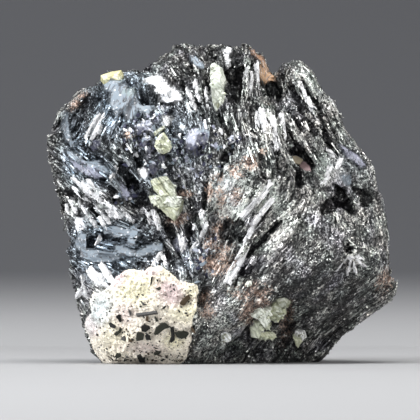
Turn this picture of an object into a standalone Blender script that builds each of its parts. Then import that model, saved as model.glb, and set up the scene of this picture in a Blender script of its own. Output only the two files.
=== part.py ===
"""Hematite rose: a hand specimen of specular hematite, one natural solid grown as bundles of thin plates.

Run with: blender --background --python part.py. Metres, +Z up. The front of the specimen faces -Y.
The origin is under the middle of the specimen, on the level of the broken face that it rests on.
"""

import math
import random

import bmesh
import bpy
from mathutils import Euler, Matrix, Vector, noise
from mathutils.bvhtree import BVHTree

MM = 0.001
SEED = 11

# The outline of the mass seen from the front, in millimetres of X and Z, counter-clockwise from the right-hand tip.
OUTLINE = [
    (20.6, 9.3), (19.5, 11.0), (19.8, 14.7), (19.3, 19.6), (18.0, 23.9), (14.9, 27.6), (13.3, 30.6),
    (11.6, 32.6), (10.9, 34.4), (9.4, 35.6), (7.6, 35.5), (6.1, 34.0), (4.8, 36.3), (3.0, 37.5),
    (-1.2, 37.6), (-5.4, 37.7), (-7.3, 36.1), (-9.0, 34.5), (-13.7, 34.3), (-16.6, 32.2), (-19.2, 30.2),
    (-20.4, 26.4), (-20.4, 24.4), (-19.5, 21.0), (-18.8, 17.5), (-18.4, 13.0), (-17.2, 7.8), (-16.4, 4.6),
    (-15.3, 1.8), (-13.6, -0.8), (-9.5, -1.6), (8.4, -1.6), (11.4, -0.2), (13.6, 2.9),
    (16.3, 4.9), (19.8, 7.3),
]
CORE = Vector((0.5, 0.0, 18.5))  # in millimetres: the whole outline can be seen from this point
HALF_DEPTH = 13.2  # millimetres
BOXINESS = 2.5  # exponent of the section from front to back: 2 is an ellipse, and more is squarer
SPHERE_STEPS = 7
MASS_FACES_KEPT = 0.049
UNEVENNESS = 0.7  # millimetres
UNEVEN_SPAN = 4.5  # millimetres

# Ridges that the bundles of plates make, drawn out along the grain: span across the grain and height in millimetres.
RIDGES = [(2.5, 0.95), (1.25, 0.55)]
RIDGE_STEPS = 4
RIDGE_STEP = 0.62  # of the span, from one sample along the grain to the next
GRAINY_SPAN = 1.5  # millimetres, where grains show in place of plates
GRAINY_HEIGHT = 0.38  # millimetres

# Broken faces: the direction each one faces, and its distance from the core in millimetres.
BROKEN_FACES = [
    ((0.20, 0.95, 0.20), 12.2),
    ((-0.66, 0.74, -0.08), 14.2),
    ((0.82, 0.56, 0.10), 16.6),
    ((0.84, -0.54, 0.05), 17.2),
    ((-0.78, -0.62, 0.12), 17.4),
    ((-0.10, -0.66, 0.75), 18.6),
    ((0.0, 0.66, 0.75), 17.0),
    ((0.44, -0.62, -0.66), 15.6),
    ((-0.2, 0.66, -0.72), 16.4),
]

# Swells (+) and hollows (-) of the mass: centre X, Y, Z, reach and height, all in millimetres.
SWELLS = [
    (-11.5, -11.0, 26.5, 4.6, 2.3),  # the round lobe at the upper left
    (-9.5, -12.0, 5.5, 4.8, 1.3),  # behind the block of pale matrix at the foot
    (11.0, -9.5, 29.0, 3.4, 2.3),  # the right-hand shoulder
    (1.0, -10.0, 33.5, 3.0, 1.8),  # the crown
    (4.5, -13.5, 25.0, 3.2, 1.9),  # the fan in the middle
    (14.0, -9.5, 13.0, 4.4, 1.8),
    (7.5, -13.0, 10.5, 3.5, 1.2),
    (-3.8, -13.5, 14.0, 3.0, -2.4),  # where the bundles spring from
    (7.2, -9.0, 31.5, 2.2, -2.3),  # between crown and shoulder
    (7.2, -12.0, 3.5, 2.0, -2.0),
    (-6.4, -13.0, 21.0, 2.2, -2.2),
    (-11.5, -12.5, 16.5, 2.4, -1.6),
    (14.6, -9.0, 19.6, 2.2, -2.0),
    (-3.0, -11.0, 30.5, 2.0, -1.2),
    (-8.0, 12.0, 26.0, 5.5, 1.7),
    (9.0, 12.0, 12.0, 5.5, 1.8),
    (2.0, 13.5, 22.0, 3.5, -2.2),
    (-3.0, 12.5, 10.0, 3.5, -1.4),
    (-17.0, 4.0, 14.0, 4.0, -1.2),
    (18.0, 4.0, 22.0, 3.5, -1.2),
]

# The run of the plates seen from the front: X and Z in millimetres, and degrees from +X towards +Z.
GRAIN = [
    (-5.3, 33.7, -62), (1.3, 33.9, -88), (10.0, 31.5, -62), (13.6, 26.7, -55), (4.0, 26.7, -77),
    (2.8, 18.3, 55), (1.6, 11.1, 50), (-17.0, 20.3, -50), (-15.8, 23.5, -28), (-15.6, 28.9, 57),
    (-9.8, 22.2, -62), (-12.8, 14.1, 0), (-15.6, 9.8, -38), (13.0, 9.9, 40), (15.4, 5.1, 35),
    (-3.5, 15.0, -62), (6.0, 14.5, 55), (17.0, 16.0, -80), (8.0, 3.0, 60),
]
GRAIN_REACH = 3.6  # millimetres round each place in GRAIN
GRAIN_TWIST = 0.5
GRAIN_TWIST_SPAN = 9.0  # millimetres

# Stacks of plates standing in the grain, each plate with one edge out of the mass.
STACKS_ROUND = 88
BACK_STACKS_KEPT = 0.7
PLATES_IN_STACK = (1, 3)
PLATE_LENGTHS = (4.5 * MM, 9.5 * MM)
PLATE_WIDTHS = (3.0 * MM, 4.2 * MM)
PLATE_THICKNESSES = (0.5 * MM, 1.0 * MM)
PLATE_PROUD = (0.2 * MM, 1.1 * MM)
SIDEWAYS_PROUD = 0.35  # of the height on the front, for plates seen on the outline
PLATE_LEAN = math.radians(34)
PLATE_LIFT = math.radians(6)
PLATE_TAPER = 0.86
PLATE_SIDES = 6
STACK_SPACING = 0.86  # of a plate's own thickness, so that the plates of a stack are grown together

# Broad plates lying in the surface: X and Z in millimetres, length, width, thickness, degrees from +X towards +Z.
BROAD_PLATES = [
    (-12.2, 31.4, 5.4, 4.8, 1.6, 20),
    (-18.0, 28.0, 5.0, 2.4, 1.4, 72),
    (-16.0, 23.3, 4.6, 2.1, 1.3, -30),
    (-12.3, 14.0, 7.0, 2.8, 1.5, 4),
    (-3.4, 26.3, 2.8, 2.3, 1.4, 60),
    (15.6, 24.6, 3.4, 2.4, 1.4, -40),
    (-7.4, 32.6, 4.4, 2.6, 1.4, -40),
]

# The block of pale matrix at the foot: its middle and half size in X and Z, and how far it stands out, in millimetres.
BLOCK_MIDDLE = (-9.6, 5.0)
BLOCK_HALF = (6.9, 6.3)
BLOCK_PROUD = 1.5
BLOCK_SQUARENESS = 3.4

# The right-hand flank, where grains show in place of plates: its middle and reach in millimetres.
GRAINY_FLANK = (Vector((15.0, -9.0, 13.5)), 6.5)

# Long bright blades on the front: X and Z of both ends in millimetres, width and thickness.
LONG_BLADES = [
    (5.9, 22.1, 2.2, 17.6, 3.4, 0.95),
    (6.1, 19.6, 0.9, 9.9, 3.4, 0.95),
    (-2.2, 18.6, -1.7, 15.8, 2.6, 0.8),
]
LONG_BLADE_PROUD = 1.1 * MM

# Blunt pale crystals: X and Z in millimetres, length, thickness across, degrees from +X towards +Z.
PALE_CRYSTALS = [
    (-7.0, 26.2, 2.4, 2.0, 70),
    (-7.1, 20.6, 2.6, 1.9, 20),
    (-6.2, 19.3, 3.8, 1.9, -52),
    (-8.0, 19.0, 2.3, 1.5, 10),
    (-0.6, 32.7, 6.4, 2.0, 96),
    (5.1, 5.5, 2.6, 1.8, 30),
    (7.0, 6.2, 2.8, 2.1, 70),
    (9.1, 2.9, 2.2, 1.7, 60),
    (4.1, 4.3, 1.9, 1.4, -20),
]

# Pockets in the front: X and Z in millimetres, length, width, depth, degrees from +X towards +Z.
POCKETS = [
    (-16.7, 29.4, 6.4, 2.8, 2.8, 57),
    (1.6, 34.3, 6.4, 1.9, 3.8, 88),
    (-1.9, 33.3, 5.6, 0.9, 2.6, 88),
    (6.0, 32.9, 3.2, 2.4, 3.0, -60),
    (9.8, 24.5, 3.6, 2.1, 3.2, -35),
    (13.9, 19.5, 3.8, 2.6, 2.0, 10),
    (17.1, 19.8, 2.6, 1.8, 1.8, -5),
    (-10.0, 21.0, 6.6, 1.6, 2.4, -57),
    (15.0, 13.7, 1.5, 1.3, 1.6, 0),
    (-15.7, 14.6, 1.6, 1.3, 1.8, 0),
    (7.5, 3.6, 5.4, 1.4, 2.6, 78),
    (-2.3, 8.0, 2.6, 1.3, 2.4, 70),
    (-6.3, 30.2, 3.4, 1.3, 2.0, -60),
    (11.6, 29.2, 6.8, 1.2, 2.4, -62),
    (9.0, 31.6, 5.8, 1.1, 2.2, -62),
    (13.6, 29.6, 5.4, 1.1, 2.2, -60),
]
POCKET_LIFT = 0.5 * MM

# The underside: a flat broken face, with an arch in it towards the front.
ARCH_SPAN = 9.6 * MM
ARCH_RISE = 2.6 * MM
ARCH_DEPTH = 15.0 * MM
ARCH_AT = Vector((2.3, -12.5, 0.0)) * MM
GROUND_BLOCK = 60.0 * MM


def outline_reach(angle):
    """How far the outline is from the core, in millimetres, in the direction of an angle in the XZ plane."""
    ray = Vector((math.cos(angle), math.sin(angle)))
    core = CORE.xz
    for (x0, z0), (x1, z1) in zip(OUTLINE, OUTLINE[1:] + OUTLINE[:1]):
        start = Vector((x0, z0)) - core
        side = Vector((x1 - x0, z1 - z0))
        across = ray.cross(side)
        if abs(across) < 1e-9:
            continue
        reach = start.cross(side) / across
        along_side = start.cross(ray) / across
        if 0.0 <= along_side <= 1.0 and reach > 0.0:
            return reach
    return 0.0


def surface_spot(direction):
    """The point of the surface of the mass in a direction from the core, in metres."""
    flat = math.hypot(direction.x, direction.z)
    reach = HALF_DEPTH
    if flat > 1e-6:
        in_outline = flat / outline_reach(math.atan2(direction.z, direction.x))
        in_depth = abs(direction.y) / HALF_DEPTH
        reach = (in_outline**BOXINESS + in_depth**BOXINESS) ** (-1.0 / BOXINESS)
    for facing, distance in BROKEN_FACES:
        towards = direction.dot(Vector(facing).normalized())
        if towards > 0.05:
            reach = min(reach, distance / towards)
    spot = CORE + direction * reach
    for x, y, z, span, height in SWELLS:
        away = (spot - Vector((x, y, z))).length
        reach += height * math.exp(-away * away / (2.0 * span * span))
    reach += noise.noise(spot / UNEVEN_SPAN) * UNEVENNESS * math.sqrt(abs(direction.y))
    return (CORE + direction * reach) * MM


def drawn_out_noise(spot, along, span):
    """Noise between about -1 and 1 that changes slowly along one direction."""
    total = 0.0
    for step in range(-RIDGE_STEPS, RIDGE_STEPS + 1):
        total += noise.noise((spot / MM + along * step * RIDGE_STEP * span) / span)
    return 2.4 * total / (2 * RIDGE_STEPS + 1)


def on_block(spot):
    """1 on the block of pale matrix, 0 off it, and between the two on its edge."""
    across = abs(spot.x / MM - BLOCK_MIDDLE[0]) / BLOCK_HALF[0]
    upward = abs(spot.z / MM - BLOCK_MIDDLE[1]) / BLOCK_HALF[1]
    out = across**BLOCK_SQUARENESS + upward**BLOCK_SQUARENESS
    return max(0.0, min(1.0, (1.25 - out) * 2.5)) if spot.y < 0.0 else 0.0


def graininess(spot):
    """1 where the rock is grains grown together, and 0 where it is plates."""
    away = (spot / MM - GRAINY_FLANK[0]).length / GRAINY_FLANK[1]
    return max(on_block(spot), min(1.0, 2.0 - 2.0 * away))


def relief(spot, normal):
    """The height of the ridges and grains over the smooth mass at a point, in millimetres."""
    along = grain_normal(spot).cross(normal)
    standing = min(1.0, along.length * 1.6)
    along.normalize()
    ridges = 0.0
    for span, height in RIDGES:
        ridges += height * (0.5 - abs(drawn_out_noise(spot, along, span)))
    grains = GRAINY_HEIGHT * noise.noise(spot / MM / GRAINY_SPAN)
    share = graininess(spot)
    block = BLOCK_PROUD * on_block(spot) * abs(normal.y)
    return (1.0 - share) * ridges * standing + share * grains + block


def mass_surface():
    """The mass under the plates: a ball of even faces, each corner pushed out to the surface and then ridged."""
    bm = bmesh.new()
    bmesh.ops.create_icosphere(bm, subdivisions=SPHERE_STEPS, radius=1.0)
    for vertex in bm.verts:
        vertex.co = surface_spot(vertex.co.normalized())
    bm.normal_update()
    heights = [relief(vertex.co, vertex.normal) for vertex in bm.verts]
    for vertex, height in zip(bm.verts, heights):
        vertex.co += vertex.normal * height * MM
    return bm


def hit(tree, start, direction):
    """Where a straight line first meets the mass, and the way the surface faces there."""
    spot, normal, _, _ = tree.ray_cast(start, direction)
    return spot, normal


def hit_front(tree, x, z):
    """The point of the front at X and Z in millimetres, and the way the surface faces there."""
    return hit(tree, Vector((x, -50.0, z)) * MM, Vector((0.0, 1.0, 0.0)))


def grain_normal(spot):
    """The direction the plates face at a point of the specimen, across the grain."""
    run = Vector((0.0, 0.0))
    for x, z, degrees in GRAIN:
        away = (spot.xz / MM - Vector((x, z))).length_squared
        weight = math.exp(-away / (2.0 * GRAIN_REACH**2)) + 1e-9
        doubled = math.radians(2 * degrees)
        run += weight * Vector((math.cos(doubled), math.sin(doubled)))
    angle = math.atan2(run.y, run.x) / 2.0
    twist = GRAIN_TWIST * noise.noise(spot / MM / GRAIN_TWIST_SPAN)
    return Vector((-math.sin(angle), twist, math.cos(angle))).normalized()


def slope(degrees):
    """A direction in the XZ plane."""
    return Vector((math.cos(math.radians(degrees)), 0.0, math.sin(math.radians(degrees))))


def placed(spot, along, up):
    """A placing matrix: X runs along the first direction, Z points as near the second as it can."""
    across = up.cross(along).normalized()
    along = across.cross(up).normalized() if abs(along.dot(up)) < 1e-6 else along.normalized()
    turn = Matrix((along, across, along.cross(across))).transposed()
    return Matrix.Translation(spot) @ turn.to_4x4()


def shape(name, bm, size, placing, collection):
    """An object made from a unit shape of the given size, put in its place."""
    bmesh.ops.scale(bm, vec=size, verts=bm.verts)
    bmesh.ops.transform(bm, matrix=placing, verts=bm.verts)
    mesh = bpy.data.meshes.new(name)
    bm.to_mesh(mesh)
    bm.free()
    thing = bpy.data.objects.new(name, mesh)
    collection.objects.link(thing)
    return thing


def plate(name, size, placing, collection):
    """A six-sided plate: length along X, width along Y, thickness along Z."""
    bm = bmesh.new()
    bmesh.ops.create_cone(
        bm, cap_ends=True, segments=PLATE_SIDES, radius1=0.5, radius2=0.5 * PLATE_TAPER, depth=1.0
    )
    shape(name, bm, size, placing, collection)


def blunt_crystal(name, size, placing, collection):
    """A four-sided crystal with a blunt point at each end, its length along X."""
    bm = bmesh.new()
    bmesh.ops.create_cone(bm, cap_ends=True, segments=4, radius1=0.5, radius2=0.46, depth=0.55)
    for end in (-0.5, 0.5):
        cap = [face for face in bm.faces if face.calc_center_median().z * end > 0.1]
        point = bmesh.ops.poke(bm, faces=cap)["verts"][0]
        point.co = Vector((0.12, 0.05, end))
    bmesh.ops.rotate(bm, matrix=Matrix.Rotation(math.pi / 2, 3, "Y"), verts=bm.verts)
    shape(name, bm, size, placing, collection)


def rough_ball(name, size, placing, collection):
    """A ball of twenty flat faces."""
    bm = bmesh.new()
    bmesh.ops.create_icosphere(bm, subdivisions=1, radius=0.5)
    return shape(name, bm, size, placing, collection)


def stack_of_plates(name, spot, normal, collection, chance):
    """Plates side by side, grown together, standing in the grain at one place of the surface."""
    length = chance.uniform(*PLATE_LENGTHS)
    width = chance.uniform(*PLATE_WIDTHS)
    thickness = chance.uniform(*PLATE_THICKNESSES)
    lean = chance.uniform(-PLATE_LEAN, PLATE_LEAN)
    along = grain_normal(spot).cross(normal)
    if along.length < 0.35:
        along = Vector((0.3, 1.0, 0.2)).cross(normal)
    stack = placed(spot, along, normal.cross(along)) @ Matrix.Rotation(lean, 4, "X")
    sideways = SIDEWAYS_PROUD + (1.0 - SIDEWAYS_PROUD) * abs(normal.y)
    count = chance.randint(*PLATES_IN_STACK)
    for number in range(count):
        across = (number - (count - 1) / 2) * thickness * STACK_SPACING
        proud = chance.uniform(*PLATE_PROUD) * sideways
        shift = chance.uniform(-0.2, 0.2) * length
        lift = chance.uniform(-PLATE_LIFT, PLATE_LIFT)
        size = Vector((length * chance.uniform(0.7, 1.0), width, thickness))
        inward = -(width / 2 - proud)
        own = Matrix.Translation((shift, -inward if stack.col[1].xyz.dot(normal) < 0 else inward, across))
        plate(f"{name}_{number}", size, stack @ own @ Matrix.Rotation(lift, 4, "Z"), collection)


def standing_plates(tree, collection, chance):
    """Stacks of plates evenly spread round the mass."""
    golden = math.pi * (3.0 - math.sqrt(5.0))
    for number in range(STACKS_ROUND):
        height = 1.0 - 2.0 * (number + 0.5) / STACKS_ROUND
        ring = math.sqrt(1.0 - height * height)
        turn = number * golden
        direction = Vector((ring * math.cos(turn), -height, ring * math.sin(turn)))
        spot, normal = hit(tree, (CORE + direction * 60.0) * MM, -direction)
        if on_block(spot) > 0.0 or spot.z < 1.5 * MM:
            continue
        if direction.y > 0.3 and chance.random() > BACK_STACKS_KEPT:
            continue
        stack_of_plates(f"stack_{number:03d}", spot, normal, collection, chance)


def broad_plates(tree, collection):
    for number, (x, z, length, width, thickness, degrees) in enumerate(BROAD_PLATES):
        spot, normal = hit_front(tree, x, z)
        run = slope(degrees)
        run -= normal * run.dot(normal)
        size = Vector((length, width, thickness)) * MM
        plate(f"broad_plate_{number}", size, placed(spot, run, normal), collection)


def long_blades(tree, collection):
    for number, (x0, z0, x1, z1, width, thickness) in enumerate(LONG_BLADES):
        start, _ = hit_front(tree, x0, z0)
        end, _ = hit_front(tree, x1, z1)
        middle, normal = hit_front(tree, (x0 + x1) / 2, (z0 + z1) / 2)
        run = end - start
        normal = (normal - run * normal.dot(run) / run.length_squared).normalized()
        spot = middle - normal * (width * MM / 2 - LONG_BLADE_PROUD)
        size = (run.length * 1.15, width * MM, thickness * MM)
        plate(f"long_blade_{number}", size, placed(spot, run, normal.cross(run)), collection)


def pale_crystals(tree, collection):
    for number, (x, z, length, across, degrees) in enumerate(PALE_CRYSTALS):
        spot, normal = hit_front(tree, x, z)
        run = slope(degrees)
        run -= normal * run.dot(normal)
        size = Vector((length, across, across * 0.9)) * MM
        blunt_crystal(f"pale_crystal_{number}", size, placed(spot, run, normal), collection)


def cutters(tree, collection):
    """The pockets in the front, the arch in the underside and the ground that the underside is level with."""
    for number, (x, z, length, width, depth, degrees) in enumerate(POCKETS):
        spot, normal = hit_front(tree, x, z)
        run = slope(degrees)
        run -= normal * run.dot(normal)
        size = Vector((length * 1.15, width * 1.25, depth * 2.0)) * MM
        rough_ball(f"pocket_{number}", size, placed(spot + normal * POCKET_LIFT, run, normal), collection)
    arch = Vector((ARCH_SPAN, ARCH_DEPTH, ARCH_RISE * 2.0))
    rough_ball("arch", arch, Matrix.Translation(ARCH_AT), collection)
    ground = bmesh.new()
    bmesh.ops.create_cube(ground, size=1.0)
    below = Matrix.Translation((0.0, 0.0, -GROUND_BLOCK / 2))
    shape("ground", ground, Vector((1.0, 1.0, 1.0)) * GROUND_BLOCK, below, collection)
    for cutter in collection.objects:
        cutter.display_type = "WIRE"
        cutter.hide_render = True


def boolean(target, name, operation, operands):
    step = target.modifiers.new(name, "BOOLEAN")
    step.operation = operation
    step.operand_type = "COLLECTION"
    step.collection = operands
    step.solver = "EXACT"


def specular_hematite():
    material = bpy.data.materials.new("specular_hematite")
    material.use_nodes = True
    shader = material.node_tree.nodes["Principled BSDF"]
    shader.inputs["Base Color"].default_value = (0.17, 0.18, 0.20, 1.0)
    shader.inputs["Metallic"].default_value = 1.0
    shader.inputs["Roughness"].default_value = 0.3
    return material


def new_collection(name):
    collection = bpy.data.collections.new(name)
    bpy.context.scene.collection.children.link(collection)
    return collection


def linked_corners(start):
    """All the corners joined to one corner by edges."""
    found = {start}
    waiting = [start]
    while waiting:
        corner = waiting.pop()
        for edge in corner.link_edges:
            other = edge.other_vert(corner)
            if other not in found:
                found.add(other)
                waiting.append(other)
    return found


def fill_closed_gaps(mesh):
    """Keeps the outer skin alone, so that gaps shut in between plates are solid."""
    bm = bmesh.new()
    bm.from_mesh(mesh)
    outermost = max(bm.verts, key=lambda corner: corner.co.z)
    skin = linked_corners(outermost)
    bmesh.ops.delete(bm, geom=[corner for corner in bm.verts if corner not in skin], context="VERTS")
    bm.to_mesh(mesh)
    bm.free()


def finish(rough):
    """Applies the modifiers to the solid and puts its origin under its middle."""
    shaped = rough.evaluated_get(bpy.context.evaluated_depsgraph_get())
    mesh = bpy.data.meshes.new_from_object(shaped)
    fill_closed_gaps(mesh)
    across = [vertex.co.x for vertex in mesh.vertices]
    deep = [vertex.co.y for vertex in mesh.vertices]
    middle = Vector((min(across) + max(across), min(deep) + max(deep), 0.0)) / 2
    mesh.transform(Matrix.Translation(-middle))
    mesh.materials.clear()
    mesh.materials.append(specular_hematite())
    mesh.name = "hematite_rose"
    rough.modifiers.clear()
    rough.data = mesh


def main():
    for leftover in list(bpy.data.objects):
        bpy.data.objects.remove(leftover)
    specimen = new_collection("hematite_rose")
    growths = new_collection("growths")
    cut_tools = new_collection("cutters")
    chance = random.Random(SEED)

    bm = mass_surface()
    tree = BVHTree.FromBMesh(bm)
    mass = shape("hematite_rose", bm, (1.0, 1.0, 1.0), Matrix.Identity(4), specimen)
    fewer = mass.modifiers.new("fewer_faces", "DECIMATE")
    fewer.ratio = MASS_FACES_KEPT

    standing_plates(tree, growths, chance)
    broad_plates(tree, growths)
    long_blades(tree, growths)
    cutters(tree, cut_tools)
    boolean(mass, "grown_together", "UNION", growths)
    boolean(mass, "broken_out", "DIFFERENCE", cut_tools)
    late = new_collection("pale_crystals")
    pale_crystals(tree, late)
    boolean(mass, "crystals", "UNION", late)
    finish(mass)
    for grown in list(growths.objects) + list(late.objects):
        bpy.data.objects.remove(grown)


main()
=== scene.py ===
import math
import random

import bmesh
import bpy
import numpy as np
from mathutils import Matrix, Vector, noise
from mathutils.bvhtree import BVHTree


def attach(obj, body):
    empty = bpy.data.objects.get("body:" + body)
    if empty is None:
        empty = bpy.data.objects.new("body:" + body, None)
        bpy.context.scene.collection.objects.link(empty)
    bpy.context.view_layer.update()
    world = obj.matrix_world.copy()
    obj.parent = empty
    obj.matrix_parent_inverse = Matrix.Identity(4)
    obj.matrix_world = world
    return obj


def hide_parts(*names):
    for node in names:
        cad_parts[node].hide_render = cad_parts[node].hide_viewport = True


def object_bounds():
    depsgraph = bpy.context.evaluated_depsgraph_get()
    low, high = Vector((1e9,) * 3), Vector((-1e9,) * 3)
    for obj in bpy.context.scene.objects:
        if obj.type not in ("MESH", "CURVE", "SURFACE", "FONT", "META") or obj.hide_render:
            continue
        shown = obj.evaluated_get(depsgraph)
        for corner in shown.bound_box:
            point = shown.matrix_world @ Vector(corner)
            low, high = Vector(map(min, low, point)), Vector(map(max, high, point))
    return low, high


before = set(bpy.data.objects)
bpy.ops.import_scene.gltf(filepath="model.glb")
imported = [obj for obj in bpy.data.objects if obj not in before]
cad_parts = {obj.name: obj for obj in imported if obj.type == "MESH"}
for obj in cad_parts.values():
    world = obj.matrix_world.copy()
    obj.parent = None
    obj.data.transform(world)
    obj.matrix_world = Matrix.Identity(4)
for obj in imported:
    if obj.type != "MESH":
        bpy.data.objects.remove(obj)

MM = 0.001
cad_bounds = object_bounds()
SKIN_VOXEL = 0.28 * MM
LEEWAY = 0.35 * MM  # how far pieces may stand past the solid's own box

# The run of the plates seen from the front: X and Z in millimetres, and degrees from +X towards +Z.
GRAIN = [
    (-5.4, 33.7, -62), (1.2, 33.9, -88), (9.9, 31.5, -62), (13.5, 26.7, -55), (3.9, 26.7, -77),
    (2.7, 18.3, 55), (1.5, 11.1, 50), (-17.1, 20.3, -50), (-15.9, 23.5, -28), (-15.7, 28.9, 57),
    (-9.9, 22.2, -62), (-12.9, 14.1, 0), (-15.7, 9.8, -38), (12.9, 9.9, 40), (15.3, 5.1, 35),
    (-3.6, 15, -62), (5.9, 14.5, 55), (16.9, 16, -80), (7.9, 3, 60),
]
GRAIN_REACH = 3.4
GRAIN_TWIST = 0.5
GRAIN_TWIST_SPAN = 9.0

# The flank where grains show in place of plates.
FLANK_MIDDLE = (14.9, -9.1, 13.5)
FLANK_REACH = 7.5

# Outline of the block of pale matrix at the foot, in X and Z.
BLOCK_OUTLINE = [
    (-15.6, 8.5), (-14.7, 8.4), (-13.2, 9.3), (-12.6, 10.4), (-11.5, 11), (-10.8, 11.2),
    (-9.2, 10.9), (-8.7, 11.4), (-7.5, 11.6), (-6.6, 11.1), (-6.1, 10.6), (-5.1, 9.8),
    (-3.9, 9.6), (-3.1, 9.3), (-3, 8.5), (-3.2, 7.5), (-3.3, 6.3), (-3.7, 5.1), (-3.8, 3.9),
    (-3.9, 2.7), (-4.3, 1.5), (-4.4, 0.6), (-5.1, -0.4), (-14.1, -0.4), (-15.1, 1.3),
    (-15.7, 2.5), (-16.3, 3.6), (-16.4, 4.6), (-16, 5.5), (-15.4, 6), (-15.7, 7.2),
]
BLOCK_BACK = -3.0

# Places on the front that differ from the rest: X, Z, length, width, degrees and amount.
# Painted light: places where the plates are painted lighter, among them painted white streaks
# beside the bright blades.
PAINTED_LIGHT_PLACES = [
    (-7.2, 32.7, 4.6, 2.2, -40, 1), (5.7, 28.2, 5.5, 3.1, -80, 0.8),
    (-13.5, 30.1, 5, 2.6, 60, 0.45), (-15, 9.8, 4.8, 2.2, -36, 0.9), (-18, 26.5, 5, 2.4, 80, 0.5),
    (-15, 19.8, 6, 1.9, -46, 0.55), (-12.8, 18, 2.4, 1.7, -48, 1),
    (-17.1, 17.7, 3.6, 3.1, -55, 0.5), (1, 10.9, 5, 2.6, 55, 0.5), (13.6, 23.1, 5.3, 4.1, -40, 1),
    (16.2, 21.7, 3.6, 2.6, -50, 0.7), (-2.5, 27.7, 4.8, 5.3, 0, 0.35),
    (-5.4, 14.5, 2.2, 1.4, -60, 0.8), (9.3, 33, 6, 2, -62, 0.35), (3, 31, 5.2, 3.2, -78, 0.4),
    (-11.7, 21.9, 2.4, 4.8, -60, 0.35), (11, 29.8, 12, 7, -62, 0.55), (1.6, 17, 6.8, 3, 50, 0.25),
    (-16.9, 13.5, 6, 2, 90, 0.35), (-7.5, 12.2, 2.6, 1.6, 90, 0.7), (-16.9, 6.4, 5, 1.2, 75, 0.5),
    (-0.6, 21, 9.6, 7.9, 0, 0.3), (-2.7, 11.4, 4, 5, 0, 0.4), (-3, 30.6, 5, 2.6, 80, 0.35),
    (9.3, 3.2, 1.2, 1, 0, 0.8), (-13, 22.9, 2.4, 1.7, 0, 0.8), (-8.5, 17.4, 3.1, 2.2, -50, 0.6),
    (4.7, 20.1, 7.2, 2.6, 52, 0.3), (-9.3, 21.7, 4.8, 2.2, -60, 0.35),
    (-6.8, 23.4, 7.2, 3.6, 0, 0.35), (-7.5, 28.2, 10.8, 3.6, 0, 0.3),
    (-17.6, 23.7, 4.3, 2.6, -30, 0.3), (9.6, 20.7, 6, 4, 0, 0.4),
    (-18.3, 21.9, 3.6, 1.7, 80, 0.2), (3, 17.4, 10, 10, 0, 0.95), (1.1, 22.2, 8, 6, 0, 0.6),
    (4, 19.8, 6.2, 1.1, 52, 1), (3.2, 14.7, 12, 1.1, 61, 0.9), (-2.4, 17.2, 2.6, 1, -70, 1),
    (-4.9, 14.5, 2.6, 1.1, -80, 0.9), (-3.1, 14.4, 2.9, 1, 54, 0.8),
    (-0.9, 27.4, 2.2, 0.7, -75, 0.7), (-4.9, 29.1, 3.6, 2.2, 0, 0.5),
    (-3.7, 30.8, 4.8, 1.4, 0, 0.4), (-4.2, 24.3, 4.8, 5.5, 0, 0.6), (-8.5, 25.5, 6, 4.3, 0, 0.45),
    (-6.8, 30.1, 4.1, 1.9, 0, 0.6), (-3.2, 13.5, 4.3, 6, 0, 0.55), (2.1, 20.7, 8.4, 6, 0, 0.9),
    (-0.1, 9.7, 4.8, 3.1, 0, 0.4), (-12.3, 24.3, 4.8, 4.8, 0, 0.3), (15.3, 12.7, 1.4, 1, 0, 1),
]
# Painted shade: places where the plates are painted darker.
PAINTED_SHADE_PLACES = [
    (11.7, 8.5, 14, 9.5, 25, 0.7), (14.8, 14.6, 8, 8, 0, 0.4), (0.9, 35.2, 5.2, 2.4, 85, 0.6),
    (-16.9, 29.7, 6.4, 3, 57, 1), (15.8, 4.8, 10, 3.2, 33, 0.55), (5.9, 33.2, 3.6, 2.4, -60, 0.8),
    (7.8, 12.1, 7.2, 4.8, 50, 0.4), (-1.9, 33.2, 5.2, 1.1, 88, 0.9), (7.4, 3.4, 5.6, 1.8, 80, 1),
    (-2.4, 8.2, 3, 1.8, 80, 1), (-9, 33.7, 2.9, 1.2, 0, 0.2), (3.4, 22, 3.6, 3.1, 0, 0.3),
    (14.9, 13.8, 1.6, 1.6, 0, 0.8), (6.4, 35.6, 4, 1.6, -60, 0.5), (-5, 34.9, 3.6, 2, -50, 0.45),
    (-0.6, 36.7, 6, 1.6, 0, 0.3), (1.1, 15.9, 3.6, 2.9, 30, 0.7), (-10, 21.2, 6.2, 1.4, -60, 0.7),
    (-13, 20, 2.6, 1.2, -80, 0.8), (-15.7, 18.6, 4.3, 1.1, -50, 0.8),
    (-18.3, 20.4, 1.9, 1.1, -30, 0.8), (12.9, 25.5, 2.4, 1.2, -60, 0.5),
    (-6.1, 37.8, 3.6, 1.2, 20, 0.5), (4.7, 16.4, 4.8, 1.4, 50, 0.6), (14.9, 13.9, 0.6, 0.6, 0, 1),
]
COOL_PLACES = [
    (-12.2, 31.4, 8, 10, 0, 1), (-17.6, 26, 4, 9, 0, 0.9), (-13.4, 13.8, 11, 7, 0, 1),
    (-15.8, 23.6, 8, 4, -28, 1), (15, 23.6, 5, 4, -40, 0.3), (-5.6, 27.4, 7, 8, 0, 0.7),
    (-3.4, 13.2, 6, 6, 0, 0.5), (-2.7, 21.9, 7.2, 4.8, 0, 0.3), (-8.7, 23.1, 7.2, 6, 0, 0.6),
]
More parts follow.
